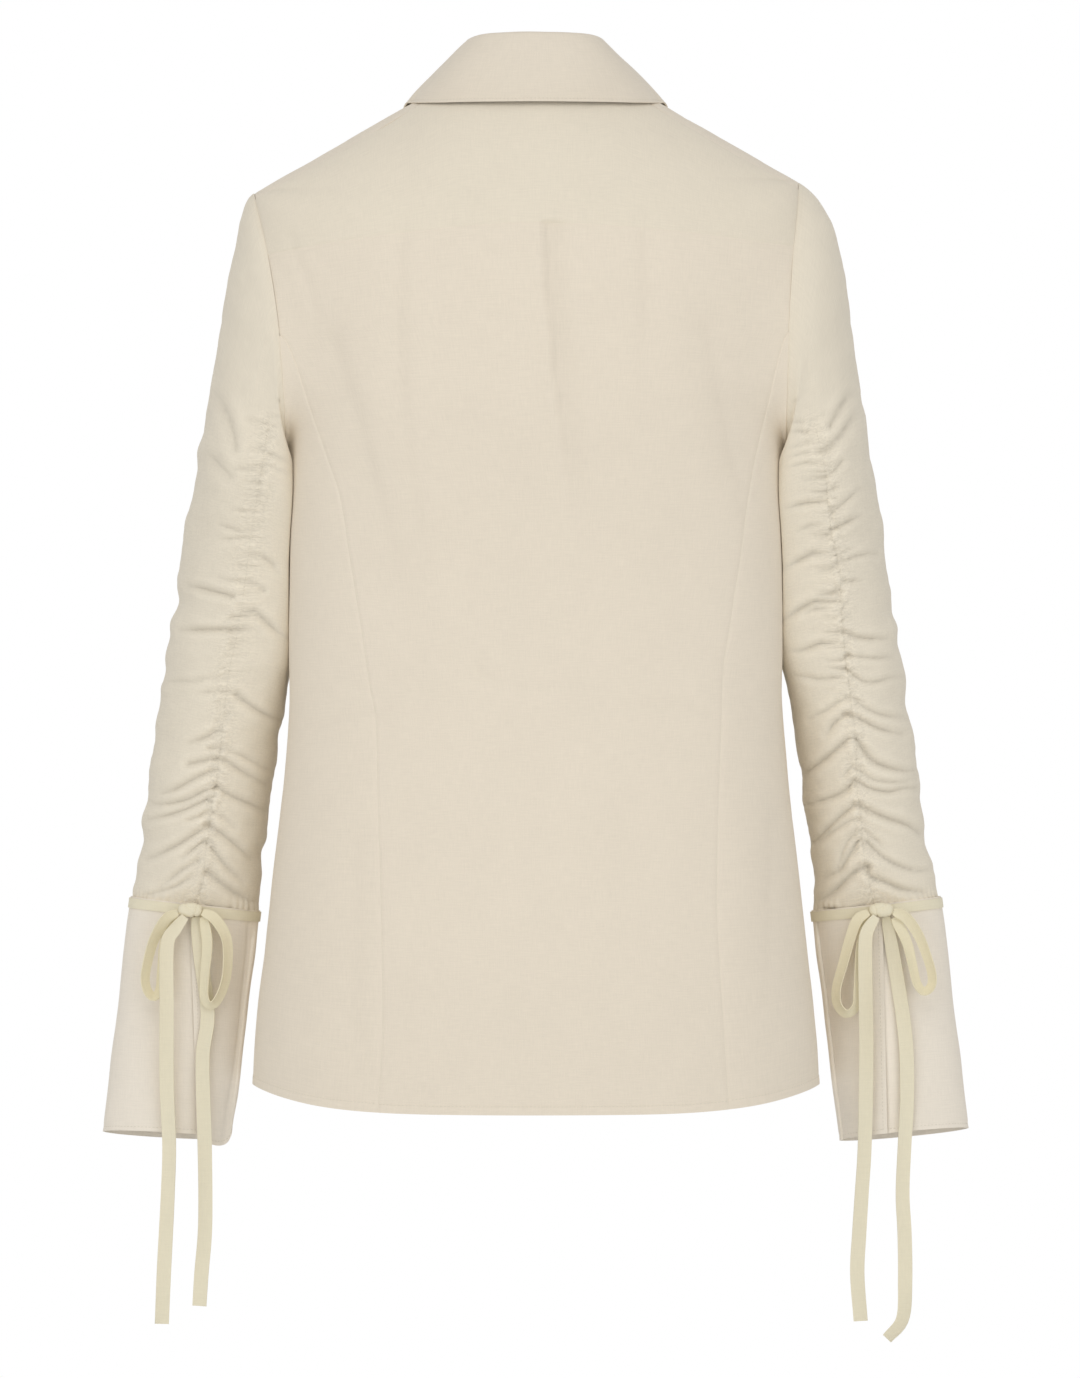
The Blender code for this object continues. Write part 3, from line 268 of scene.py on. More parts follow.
def layCloth(name, points, core, wall, paint, node, relief=None, around=False, slot="cotton",
             foldShadeAndLight=None, gathers=None):
    normal = facing(points, core, around)
    spread, height = lengths(points)
    if relief is not None:
        points = points + normal * relief[..., None]
        normal = facing(points, core, around)
    rows, cols = points.shape[0] - 1, points.shape[1] - 1
    turned = np.sum(np.cross(np.gradient(points, axis=1), np.gradient(points, axis=0)) * normal) < 0
    shape = bmesh.new()
    bmesh.ops.create_grid(shape, x_segments=cols, y_segments=rows, size=1.0)
    mesh = bpy.data.meshes.new(name)
    shape.to_mesh(mesh)
    shape.free()
    spots = np.empty(len(mesh.vertices) * 3)
    mesh.vertices.foreach_get("co", spots)
    j = np.rint((spots[0::3] + 1) / 2 * cols).astype(int)
    i = np.rint((spots[1::3] + 1) / 2 * rows).astype(int)
    j = cols - j if turned else j
    mesh.vertices.foreach_set("co", points[i, j].ravel())
    corners = np.empty(len(mesh.loops), int)
    mesh.loops.foreach_get("vertex_index", corners)
    weave = mesh.uv_layers[0] if mesh.uv_layers else mesh.uv_layers.new()
    weave.name = "weave"
    weave.data.foreach_set("uv", columns(spread[j], height[i])[corners].ravel())
    # Point attributes for the colour: 'fold' holds painted shade and light, 'gathers' the strength of
    # the fine crinkles, which also paints shade.
    for mark, values in (("fold", foldShadeAndLight), ("gathers", gathers)):
        if values is not None:
            made = mesh.attributes.new(mark, "FLOAT", "POINT")
            made.data.foreach_set("value", np.broadcast_to(values, points.shape[:2])[i, j].ravel())
    shape = bmesh.new()
    shape.from_mesh(mesh)
    if around:
        bmesh.ops.remove_doubles(shape, verts=shape.verts, dist=0.000001)
    for edge in shape.edges:
        edge.smooth = not edge.is_boundary
    for face in shape.faces:
        face.smooth = True
    shape.to_mesh(mesh)
    shape.free()
    piece = addPiece(name, mesh, paint, slot, node)
    if wall:
        thick = piece.modifiers.new("wall", "SOLIDIFY")
        thick.thickness = wall
        thick.offset = 0.0
    madePieces[name] = {"face": points + normal * wall / 2, "out": normal, "spread": spread,
                        "height": height}
    return piece


def addPiece(name, mesh, paint, slot, *nodes):
    piece = bpy.data.objects.new("sewn_" + name, mesh)
    toScene(piece)
    mesh.materials.append(paint)
    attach(piece, "root")
    if nodes:
        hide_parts(*nodes)
    return piece


def creases(across, level, folds):
    # Soft troughs along the listed paths, with a low ridge at each side. Sizes in millimetres.
    relief = np.zeros(np.broadcast(across, level).shape)
    for deep, wide, *path in folds:
        for rounding in range(2 if len(path) > 2 else 0):
            cut = [path[0]]
            for (x0, z0), (x1, z1) in zip(path, path[1:]):
                cut += [(0.75 * x0 + 0.25 * x1, 0.75 * z0 + 0.25 * z1),
                        (0.25 * x0 + 0.75 * x1, 0.25 * z0 + 0.75 * z1)]
            path = cut + [path[-1]]
        runs = [sqrt((b[0] - a[0]) ** 2 + (b[1] - a[1]) ** 2) + 1e-9 for a, b in zip(path, path[1:])]
        near = np.full(relief.shape, 1e9)
        place = np.zeros(relief.shape)
        done = 0.0
        for (x0, z0), (x1, z1), run in zip(path, path[1:], runs):
            t = np.clip(((across - x0) * (x1 - x0) + (level - z0) * (z1 - z0)) / run ** 2, 0.0, 1.0)
            gap = np.hypot(across - x0 - t * (x1 - x0), level - z0 - t * (z1 - z0))
            place = np.where(gap < near, (done + t * run) / sum(runs), place)
            near = np.minimum(gap, near)
            done += run
        fade = 1 - 0.6 * ramp(0.6, 1.0, place)
        valley = 0.66 * np.exp(-(near / (0.33 * wide)) ** 1.5)
        valley = valley + 0.34 * np.exp(-(near / (1.3 * wide)) ** 2)
        crest = np.exp(-((near - 1.7 * wide) / (0.9 * wide)) ** 2)
        relief -= deep * fade * (valley - 0.25 * crest)
    return relief * 0.001


def drift(points, size, amount, seed):
    # Slow unevenness of the cloth.
    shift = Vector((seed * 7.3, seed * 1.9, seed * 4.1))
    flat = points.reshape(-1, 3) / size
    values = np.array([noise.noise(Vector(p) + shift) for p in flat])
    return values.reshape(points.shape[:-1]) * amount


# Finishes.
def socketed(group, name, kind, into, value=None):
    made = group.interface.new_socket(name, in_out=into, socket_type=kind)
    if value is not None:
        made.default_value = value
    return made


def makeWeave():
    # Plain weave with slubs: colour and height from a cloth position in metres; the colour also carries
    # painted shade and light of folds and puckers.
    group = bpy.data.node_groups.new("plainWeave", "ShaderNodeTree")
    socketed(group, "Place", "NodeSocketVector", "INPUT")
    socketed(group, "Colour", "NodeSocketColor", "INPUT", (0.8, 0.8, 0.8, 1.0))
    socketed(group, "Thread", "NodeSocketFloat", "INPUT", 0.0005)
    socketed(group, "Slub", "NodeSocketFloat", "INPUT", 0.05)
    socketed(group, "Blotch", "NodeSocketFloat", "INPUT", 0.03)
    socketed(group, "PaintedShadeAndLight", "NodeSocketFloat", "INPUT", 0.0)
    socketed(group, "Crinkle", "NodeSocketFloat", "INPUT", 0.0)
    socketed(group, "Colour", "NodeSocketColor", "OUTPUT")
    socketed(group, "Roughness", "NodeSocketFloat", "OUTPUT")
    socketed(group, "Height", "NodeSocketFloat", "OUTPUT")
    nodes, wire = group.nodes, group.links.new
    given, result = nodes.new("NodeGroupInput"), nodes.new("NodeGroupOutput")

    def calc(kind, first, second):
        made = nodes.new("ShaderNodeMath")
        made.operation = kind
        for socket, value in zip(made.inputs, (first, second)):
            if isinstance(value, (int, float)):
                socket.default_value = value
            elif value is not None:
                wire(value, socket)
        return made.outputs[0]

    apart = nodes.new("ShaderNodeSeparateXYZ")
    wire(given.outputs["Place"], apart.inputs[0])
    perMetre = calc("DIVIDE", 2 * pi, given.outputs["Thread"])
    warp = calc("SINE", calc("MULTIPLY", apart.outputs[0], perMetre), None)
    weft = calc("SINE", calc("MULTIPLY", apart.outputs[1], perMetre), None)
    weave = calc("MULTIPLY", warp, weft)

    def slubs(across, along, size):
        place = nodes.new("ShaderNodeCombineXYZ")
        wire(calc("MULTIPLY", apart.outputs[0], across), place.inputs[0])
        wire(calc("MULTIPLY", apart.outputs[1], along), place.inputs[1])
        made = nodes.new("ShaderNodeTexNoise")
        made.inputs["Scale"].default_value = 1.0
        made.inputs["Detail"].default_value = size
        made.inputs["Roughness"].default_value = 0.6
        wire(place.outputs[0], made.inputs["Vector"])
        return calc("SUBTRACT", made.outputs[0], 0.5)

    threads = calc("ADD", slubs(1100.0, 90.0, 2.0), slubs(80.0, 1100.0, 2.0))
    blotch = slubs(26.0, 19.0, 3.0)
    tone = calc("ADD", calc("MULTIPLY", threads, given.outputs["Slub"]),
                calc("MULTIPLY", blotch, given.outputs["Blotch"]))
    tone = calc("ADD", calc("ADD", tone, calc("MULTIPLY", weave, 0.02)), 1.0)
    # Painted shade: the valleys of folds, given in metres, are made a little darker.
    valley = calc("MULTIPLY", given.outputs["PaintedShadeAndLight"], -600.0)
    valley = calc("MINIMUM", calc("MAXIMUM", valley, 0.0), 1.0)
    tone = calc("SUBTRACT", tone, calc("MULTIPLY", valley, 0.13))
    # Painted light: where the value is above zero, the colour is made a little lighter.
    crest = calc("MULTIPLY", given.outputs["PaintedShadeAndLight"], 600.0)
    crest = calc("MINIMUM", calc("MAXIMUM", crest, 0.0), 1.0)
    tone = calc("ADD", tone, calc("MULTIPLY", crest, 0.10))
    # Painted shade and light: the fine puckers also make the colour darker and lighter, besides their
    # bumps.
    puckers = calc("MULTIPLY", slubs(300.0, 760.0, 2.0), given.outputs["Crinkle"])
    tone = calc("ADD", tone, calc("MULTIPLY", puckers, 0.26))
    # Small wandering ridges across the gathers, about 3 mm apart, as bumps and as painted shade in the
    # colour.
    phase = calc("ADD", calc("MULTIPLY", apart.outputs[1], 2 * pi * 340),
                 calc("MULTIPLY", slubs(240.0, 240.0, 1.0), 20.0))
    ridges = calc("MULTIPLY", calc("SINE", phase, None), given.outputs["Crinkle"])
    tone = calc("ADD", tone, calc("MULTIPLY", ridges, 0.040))
    tint = nodes.new("ShaderNodeVectorMath")
    tint.operation = "SCALE"
    wire(given.outputs["Colour"], tint.inputs[0])
    wire(tone, tint.inputs["Scale"])
    wire(tint.outputs[0], result.inputs["Colour"])
    wire(calc("ADD", calc("MULTIPLY", threads, -0.15), 0.88), result.inputs["Roughness"])
    fine = calc("ADD", calc("MULTIPLY", weave, 0.35), threads)
    gathered = calc("ADD", calc("MULTIPLY", puckers, 6.0), calc("MULTIPLY", ridges, 1.8))
    wire(calc("ADD", fine, gathered), result.inputs["Height"])
    return group


weaveGroup = makeWeave()


def woven(name, colour, thread=0.00045, slub=0.10, blotch=0.05, bump=0.25, sheen=0.15, crinkle=0.0):
    paint = bpy.data.materials.new(name)
    paint.use_nodes = True
    nodes, wire = paint.node_tree.nodes, paint.node_tree.links.new
    shader = nodes["Principled BSDF"]
    place = nodes.new("ShaderNodeUVMap")
    place.uv_map = "weave"
    cloth = nodes.new("ShaderNodeGroup")
    cloth.node_tree = weaveGroup
    cloth.inputs["Colour"].default_value = (*colour, 1.0)
    cloth.inputs["Thread"].default_value = thread
    cloth.inputs["Slub"].default_value = slub
    cloth.inputs["Blotch"].default_value = blotch
    # Painted shade and light from the 'fold' attribute, and from the crinkles of the 'gathers'
    # attribute.
    folds = nodes.new("ShaderNodeAttribute")
    folds.attribute_name = "fold"
    wire(folds.outputs["Fac"], cloth.inputs["PaintedShadeAndLight"])
    if crinkle:
        gathers, share = nodes.new("ShaderNodeAttribute"), nodes.new("ShaderNodeMath")
        gathers.attribute_name = "gathers"
        share.operation = "MULTIPLY"
        share.inputs[1].default_value = crinkle
        wire(gathers.outputs["Fac"], share.inputs[0])
        wire(share.outputs[0], cloth.inputs["Crinkle"])
    bumps = nodes.new("ShaderNodeBump")
    bumps.inputs["Strength"].default_value = bump
    bumps.inputs["Distance"].default_value = 0.0003
    wire(place.outputs[0], cloth.inputs["Place"])
    wire(cloth.outputs["Colour"], shader.inputs["Base Color"])
    wire(cloth.outputs["Roughness"], shader.inputs["Roughness"])
    wire(cloth.outputs["Height"], bumps.inputs["Height"])
    wire(bumps.outputs[0], shader.inputs["Normal"])
    shader.inputs["Sheen Weight"].default_value = sheen
    shader.inputs["Sheen Roughness"].default_value = 0.6
    shader.inputs["Specular IOR Level"].default_value = 0.2
    return paint


bodyCotton = woven("bodyCotton", (0.832, 0.745, 0.615))
yokeCotton = woven("yokeCotton", (0.826, 0.748, 0.613))
# The sleeve cotton is set a little darker than the body's: painted shade of the gathers.
sleeveCottonPaintedShade = woven("sleeveCottonPaintedShade", (0.815, 0.742, 0.610), crinkle=1.0)
# The cuff cotton is set lighter than the body's: painted light.
cuffCottonPaintedLight = woven("cuffCottonPaintedLight", (0.885, 0.812, 0.700))
collarCotton = woven("collarCotton", (0.795, 0.715, 0.595))
tieTape = woven("tieTape", (0.840, 0.775, 0.590), thread=0.0004, slub=0.08)
doubledTape = woven("doubledTape", (0.845, 0.772, 0.560), thread=0.0004, slub=0.08)
sewingThread = woven("sewingThread", (0.740, 0.685, 0.570), thread=0.0002, slub=0.02)
print("finishes made")


# Ribbons of the bows; the four tails hang free.
knotForm = {
    "size": (0.0170, 0.0085, 0.0100), "bandOff": 0.0016, "bandNear": 0.0012, "ribbonWall": 0.0010,
}


def knotMiddle():
    spot = cuffEdge(92.0, 0.025) + cuffOut(92.0) * (knotForm["bandOff"] + cuffForm["step"])
    return spot + np.array((0.0, knotForm["ribbonWall"] * 0.5 + 0.0002 + knotForm["size"][1] / 2, 0.0))


# Paths from the middle of the knot: towards the outside of the arm, up, and out from the cuff.
tieTails = {
    "left_outer": {
        "out": (0.0035, 0.0100, 0.0160, 0.0165, 0.0167, 0.0151, 0.0161, 0.0175, 0.0189, 0.0203),
        "up": (-0.0046, -0.0130, -0.0245, -0.0665, -0.1200, -0.1645, -0.1995, -0.2275, -0.2555,
               -0.2905),
        "off": (0.0130, 0.0148, 0.0155, 0.0150, 0.0090, 0.0070, 0.0065, 0.0060, 0.0060, 0.0060),
    },
    "left_inner": {
        "out": (-0.0035, -0.0068, -0.0119, -0.0084, -0.0097, -0.0102, -0.0098, -0.0074, -0.0060),
        "up": (-0.0050, -0.0315, -0.0735, -0.1050, -0.1645, -0.1995, -0.2275, -0.2555, -0.2780),
        "off": (0.0058, 0.0046, 0.0046, 0.0046, 0.0050, 0.0050, 0.0050, 0.0050, 0.0050),
    },
    "right_outer": {
        "out": (0.0035, 0.0085, 0.0170, 0.0185, 0.0168, 0.0154, 0.0168, 0.0172, 0.0155, 0.0045),
        "up": (-0.0050, -0.0300, -0.0865, -0.1295, -0.1650, -0.1990, -0.2270, -0.2600, -0.2870,
               -0.3010),
        "off": (0.0058, 0.0046, 0.0046, 0.0046, 0.0050, 0.0050, 0.0050, 0.0050, 0.0050, 0.0050),
    },
    "right_inner": {
        "out": (-0.0035, -0.0090, -0.0112, -0.0109, -0.0102, -0.0112, -0.0133, -0.0150, -0.0164,
                -0.0140),
        "up": (-0.0046, -0.0130, -0.0230, -0.0592, -0.0998, -0.1640, -0.1990, -0.2270, -0.2550,
               -0.2885),
        "off": (0.0130, 0.0148, 0.0155, 0.0150, 0.0100, 0.0070, 0.0065, 0.0060, 0.0060, 0.0060),
    },
}
tieLoops = {
    "left_outer": {
        "out": (0.0088, 0.0170, 0.0256, 0.0305, 0.0318, 0.0300, 0.0256, 0.0214, 0.0200, 0.0170,
                0.0092),
        "up": (-0.0015, -0.0065, -0.0210, -0.0385, -0.0490, -0.0570, -0.0612, -0.0560, -0.0420,
               -0.0200, -0.0050),
        "off": (0.0112, 0.0108, 0.0100, 0.0100, 0.0100, 0.0100, 0.0100, 0.0100, 0.0100, 0.0090,
                0.0072),
    },
    "left_inner": {
        "out": (-0.0085, -0.0170, -0.0249, -0.0262, -0.0242, -0.0186, -0.0130, -0.0098, -0.0105,
                -0.0120, -0.0092),
        "up": (-0.0015, -0.0060, -0.0189, -0.0350, -0.0511, -0.0637, -0.0668, -0.0595, -0.0440,
               -0.0230, -0.0050),
        "off": (0.0114, 0.0112, 0.0105, 0.0105, 0.0105, 0.0105, 0.0105, 0.0105, 0.0105, 0.0100,
                0.0090),
    },
    "right_outer": {
        "out": (0.0086, 0.0170, 0.0256, 0.0318, 0.0358, 0.0350, 0.0294, 0.0248, 0.0222, 0.0175,
                0.0092),
        "up": (-0.0012, -0.0050, -0.0165, -0.0312, -0.0452, -0.0540, -0.0572, -0.0510, -0.0400,
               -0.0215, -0.0055),
        "off": (0.0116, 0.0118, 0.0110, 0.0105, 0.0105, 0.0105, 0.0105, 0.0105, 0.0102, 0.0092,
                0.0082),
    },
    "right_inner": {
        "out": (-0.0088, -0.0165, -0.0217, -0.0266, -0.0312, -0.0301, -0.0238, -0.0175, -0.0161,
                -0.0140, -0.0092),
        "up": (-0.0015, -0.0070, -0.0207, -0.0382, -0.0557, -0.0670, -0.0728, -0.0670, -0.0530,
               -0.0260, -0.0050),
        "off": (0.0112, 0.0108, 0.0100, 0.0100, 0.0100, 0.0100, 0.0100, 0.0100, 0.0100, 0.0090,
                0.0072),
    },
}


def smoothPath(spots, count):
    # Even points along a rounded line through the spots.
    padded = np.concatenate(([2 * spots[0] - spots[1]], spots, [2 * spots[-1] - spots[-2]]))
    dense = []
    for k in range(1, len(padded) - 2):
        a, b, c, d = padded[k - 1:k + 3]
        t = np.linspace(0.0, 1.0, 24, endpoint=k == len(padded) - 3)[:, None]
        dense.append(0.5 * (2 * b + (c - a) * t + (2 * a - 5 * b + 4 * c - d) * t ** 2
                            + (3 * b - a - 3 * c + d) * t ** 3))
    dense = np.concatenate(dense)
    run = np.concatenate(([0.0], np.cumsum(np.linalg.norm(np.diff(dense, axis=0), axis=1))))
    even = np.linspace(0.0, run[-1], count)
    return np.stack([np.interp(even, run, dense[:, k]) for k in range(3)], axis=1), run[-1]


def layRibbon(kind, which, path, width, twist, roll, count, paint):
    side = which.split("_")[0]
    middle = knotMiddle()
    up = np.array(path["up"])
    wrist = cuffEdge(90.0, np.clip(-up / 0.16, 0.0, 1.0))[:, 1]
    spots = columns(middle[0] + np.array(path["out"]), wrist + np.array(path["off"]),
                    middle[2] + up)
    line, run = smoothPath(spots, count)
    ahead = np.gradient(line, axis=0)
    ahead /= np.linalg.norm(ahead, axis=1, keepdims=True)
    level = np.array((0.0, 1.0, 0.0))
    flat = np.cross(ahead, level)
    flat /= np.linalg.norm(flat, axis=1, keepdims=True)
    t = np.linspace(0.0, 1.0, count)
    a = (np.radians(twist) * np.sqrt(np.sin(pi * t)) + np.radians(roll(t)))[:, None]
    way = flat * np.cos(a) + level * np.sin(a)
    face = np.cross(way, ahead)
    s = np.linspace(-1.0, 1.0, 7)
    cup = 0.0005 * (s ** 2 - 0.5)
    pinch = (1 - 0.45 * np.exp(-t / 0.03))[:, None, None]   # gathered where it leaves the knot
    if kind == "tie_loop":
        pinch = pinch * (1 - 0.45 * np.exp(-(1 - t) / 0.03))[:, None, None]
    points = line[:, None] + way[:, None] * (s[None, :, None] * width / 2) * pinch
    points = points + face[:, None] * cup[None, :, None]
    core = (line - face * 0.1)[:, None]
    name = kind + "_" + which
    piece = layCloth(name, points * flips[side], core * flips[side], 0.0007, paint, name,
                     slot="tie_ribbon")
    return piece, line * flips[side], run


tailRolls = {
    "left_outer": lambda t: 16 * np.sin(2.2 * pi * t + 0.5),
    "left_inner": lambda t: 14 * np.sin(2.6 * pi * t + 2.0),
    "right_outer": lambda t: 18 * np.sin(2.0 * pi * t + 1.2) + 30 * np.maximum(0, t - 0.85) / 0.15,
    "right_inner": lambda t: 15 * np.sin(2.4 * pi * t),
}
for which in tieTails:
    tail, line, run = layRibbon("tie_tail", which, tieTails[which], 0.0100, 0.0, tailRolls[which], 90,
                                tieTape)
for which in tieLoops:
    layRibbon("tie_loop", which, tieLoops[which], 0.0084, 48.0, lambda t: 0.0, 60, doubledTape)
print("ribbons made")


# Back: centre panel, side panels and yoke.
backSet = {
    "seams": {
        "left": (0.1105, 0.1055, 0.1068, 0.1089, 0.1102, 0.1158, 0.1218, 0.1288, 0.1350, 0.1455,
                 0.1575, 0.1735),
        "right": (0.1350, 0.1290, 0.1250, 0.1262, 0.1282, 0.1292, 0.1348, 0.1422, 0.1482, 0.1535,
                  0.1610, 0.1720),
        "at": (-0.705, -0.630, -0.560, -0.495, -0.440, -0.405, -0.365, -0.320, -0.280, -0.248,
               -0.215, -0.172),
    },
    "seamTurn": 82.0, "yokeTurn": 120.0, "yokeZ": -0.0905, "yokeCurve": 1.6, "wall": 0.0006,
    "grid": 0.0028,
}
seamTop = 1 + backSet["seamTurn"] / 180
yokeTop = 1 + backSet["yokeTurn"] / 180
seamCurves = {}
for side in sides:
    topX, topY, topZ = armHole(side, "back", backSet["seamTurn"])
    seamCurves[side] = stations(backSet["seams"]["at"] + (float(topZ),),
                                backSet["seams"][side] + (float(topX),))
yokeEnds = {side: armHole(side, "back", backSet["yokeTurn"]) for side in sides}


def yokeLine(x):
    endX = np.where(x >= 0, yokeEnds["left"][0], yokeEnds["right"][0])
    endZ = np.where(x >= 0, yokeEnds["left"][2], yokeEnds["right"][2])
    return backSet["yokeZ"] + (endZ - backSet["yokeZ"]) * (np.abs(x) / endX) ** backSet["yokeCurve"]


def backLevel(v, x):
    leftX, leftY, leftZ = outerEdge("left", "back", v)
    rightX, rightY, rightZ = outerEdge("right", "back", v)
    part = (x + rightX) / (leftX + rightX)
    z = mix(rightZ, leftZ, part)
    nearHem = np.maximum(0.0, 1 - (z - bodyForm["hemSide"]) / 0.12)
    nearTop = np.clip(((v - 1) * 180 - 40) / (backSet["yokeTurn"] - 40), 0.0, 1.0)
    wide = np.minimum(1.0, np.abs(x) / np.where(x > 0, leftX, rightX))
    hem = (bodyForm["hemBack"] - bodyForm["hemSide"]) * (1 - wide ** bodyForm["hemCurve"])
    topPart = np.clip((x + yokeEnds["right"][0]) / (yokeEnds["left"][0] + yokeEnds["right"][0]), 0, 1)
    top = yokeLine(x) - mix(yokeEnds["right"][2], yokeEnds["left"][2], topPart)
    return z + nearHem * hem + nearTop * top


def seamX(side, v):
    x, y, z = outerEdge(side, "back", v)
    return np.where(v < seamTop, seamCurves[side](z), x)


# Folds of the back, across and up in millimetres: depth, width, then the path.
backFolds = (
    (1.3, 7.0, (92, -98), (93, -140), (92, -225)),
    (0.9, 12.0, (92, -200), (86, -270), (74, -330)),
    (1.0, 9.0, (-75, -98), (-76, -140), (-73, -200)),
    (1.6, 16.0, (140, -170), (118, -240), (95, -335)),
    (1.3, 15.0, (-118, -165), (-132, -230), (-146, -296)),
    (1.0, 13.0, (123, -520), (124, -600), (122, -690)),
    (0.9, 13.0, (-164, -500), (-162, -570), (-160, -640)),
    (0.9, 4.0, (170, -98), (166, -112), (160, -128)),
    (0.8, 4.0, (160, -122), (155, -140), (150, -160)),
    (0.7, 7.0, (40, -400), (10, -412), (-30, -410)),
    (0.7, 8.0, (-120, -430), (-80, -422), (-45, -430)),
    (0.6, 7.0, (150, -440), (120, -428), (80, -430)),
)
# The pleat under the yoke: its levels, and how far across it lies, in millimetres.
pleatLine = stations((-335, -290, -245, -210, -161, -120, -92), (-30, -24, -19, -14, -9, -6, -5))
# Folds of the front, laid out in the same way.
frontFolds = (
    (1.4, 10.0, (150, -225), (125, -215), (95, -205)),
    (1.2, 9.0, (-150, -225), (-128, -218), (-100, -205)),
    (1.0, 12.0, (120, -260), (112, -330), (105, -420)),
    (1.0, 12.0, (-115, -260), (-110, -340), (-108, -430)),
    (0.9, 14.0, (70, -480), (74, -560), (80, -695)),
    (0.9, 14.0, (-66, -500), (-72, -580), (-76, -695)),
    (0.8, 10.0, (120, -120), (104, -135), (90, -160)),
    (0.8, 10.0, (-122, -116), (-106, -132), (-92, -158)),
    (0.7, 8.0, (35, -240), (60, -262), (95, -270)),
    (0.7, 8.0, (-38, -252), (-64, -268), (-92, -272)),
)


def torsoRelief(points, folds, seed):
    x, z = points[..., 0] * 1000, points[..., 2] * 1000
    relief = creases(x, z, folds)
    if folds is backFolds:
        # The pleat below the yoke: a lip, then a hollow that opens out beside it.
        past = pleatLine(z) - x
        hollow = ramp(-0.8, 1.6, past) * (1 - ramp(6, 22, past)) - 0.25 * np.exp(-((past + 3) / 3) ** 2)
        relief = relief - 0.0023 * hollow * ramp(-350, -150, z) * ramp(-88, -92, z)
    # A quarter of the folds and the pleat is kept for the colour as painted shade: darker in their
    # hollows, lighter on their ridges.
    foldShadeAndLight = 0.24 * relief
    relief = relief + drift(points * np.array((1.0, 0.4, 0.55)), 0.055, 0.0011, seed)
    return relief + drift(points * np.array((1.0, 0.5, 0.7)), 0.020, 0.00035, seed + 5), foldShadeAndLight


def seamRoll(spread, height, left=0.0, right=0.0, bottom=0.0, top=0.0):
    # A narrow valley along each sewn edge.
    total, tall = spread[-1], height[-1]
    relief = np.zeros((len(height), len(spread)))
    for deep, gap in ((left, spread[None, :]), (right, (total - spread)[None, :]),
                      (bottom, height[:, None]), (top, (tall - height)[:, None])):
        relief = np.minimum(relief, -deep * np.exp(-(gap / 0.0014) ** 1.5))
    return relief


# Rows close together at the turned hem.
hemRows = (0.0006, 0.0016, 0.0030, 0.0045, 0.0056, 0.0062, 0.0068, 0.0078)


def hemStep(height, up=0.0062, step=0.00035):
    # The turned hem is one cloth thicker below its stitching.
    low = step * (1 - ramp(up - 0.0006, up + 0.0006, height))
    groove = -0.00025 * np.exp(-((height - up) / 0.0009) ** 2)
    return (low + groove)[:, None]


def backRows(last):
    total = 0.443 * min(last, 1.0) + 0.23 * max(0.0, last - 1.0)
    return steps(total, backSet["grid"], hemRows) * last


v = backRows(yokeTop)[:, None]
s = steps(0.30, backSet["grid"])[None, :]
x = mix(-seamX("right", v), seamX("left", v), s)
points = onBody("back", x, backLevel(v, x))
spread, height = lengths(points)
relief, foldShadeAndLight = torsoRelief(points, backFolds, 1)
relief = relief + seamRoll(spread, height, 0.0005, 0.0005, 0.0, 0.0004) + hemStep(height)
piece = layCloth("back_centre", points, bodyCore, backSet["wall"], bodyCotton,
                 "back_centre", relief, foldShadeAndLight=foldShadeAndLight)

for side in sides:
    sign = armholes[side]["sign"]
    v = backRows(seamTop - 0.0015)[:, None]
    s = steps(0.09, backSet["grid"])[None, :]
    edgeX, edgeY, edgeZ = outerEdge(side, "back", v)
    inner = seamX(side, v)
    u = edgeX * np.sin(mix(np.arcsin(np.minimum(1.0, inner / edgeX)), pi / 2, s))
    x = sign * u
    points = onBody("back", x, backLevel(v, x))
    points[:, -1] = columns(sign * edgeX, edgeY, edgeZ)[:, 0]
    spread, height = lengths(points)
    relief, foldShadeAndLight = torsoRelief(points, backFolds, 1)
    relief = relief + seamRoll(spread, height, 0.0005, 0.0003) + hemStep(height)
    piece = layCloth("side_back_" + side, points, bodyCore, backSet["wall"], bodyCotton,
                     "side_back_" + side, relief, foldShadeAndLight=foldShadeAndLight)

neckForm = {"side": 0.0640, "frontX": 0.0280, "frontZ": -0.0520, "seamX": 0.0580, "backZ": 0.0020,
            "backRise": 0.0094}


def neckBack(x):
    return neckForm["backZ"] + neckForm["backRise"] * (x / neckForm["side"]) ** 2


def shoulderZ(side, x):
    # Shoulder seam, a little behind the ridge.
    endX, endY, endZ = armHole(side, "back", shoulderTurn)
    t = np.clip((x - neckForm["seamX"]) / (endX - neckForm["seamX"]), 0.0, 1.0)
    start = ridgeZ(neckForm["seamX"]) - neckBack(neckForm["seamX"])
    return ridgeZ(x) - mix(start, ridgeZ(endX) - endZ, t) - 0.002 * np.sin(pi * t)


def yokeTopPoint(s):
    # s from -1 at the right shoulder to 1 at the left; the neck is the middle part.
    share = 0.36
    a = np.abs(s)
    x = np.zeros_like(a)
    z = np.zeros_like(a)
    for side, here in (("left", s >= 0), ("right", s < 0)):
        endX = armHole(side, "back", shoulderTurn)[0]
        out = mix(neckForm["seamX"], endX, np.clip((a - share) / (1 - share), 0.0, 1.0))
        u = np.where(a < share, neckForm["seamX"] * a / share, out)
        level = np.where(a < share, neckBack(u), shoulderZ(side, u))
        x, z = np.where(here, u, x), np.where(here, level, z)
    return x, z


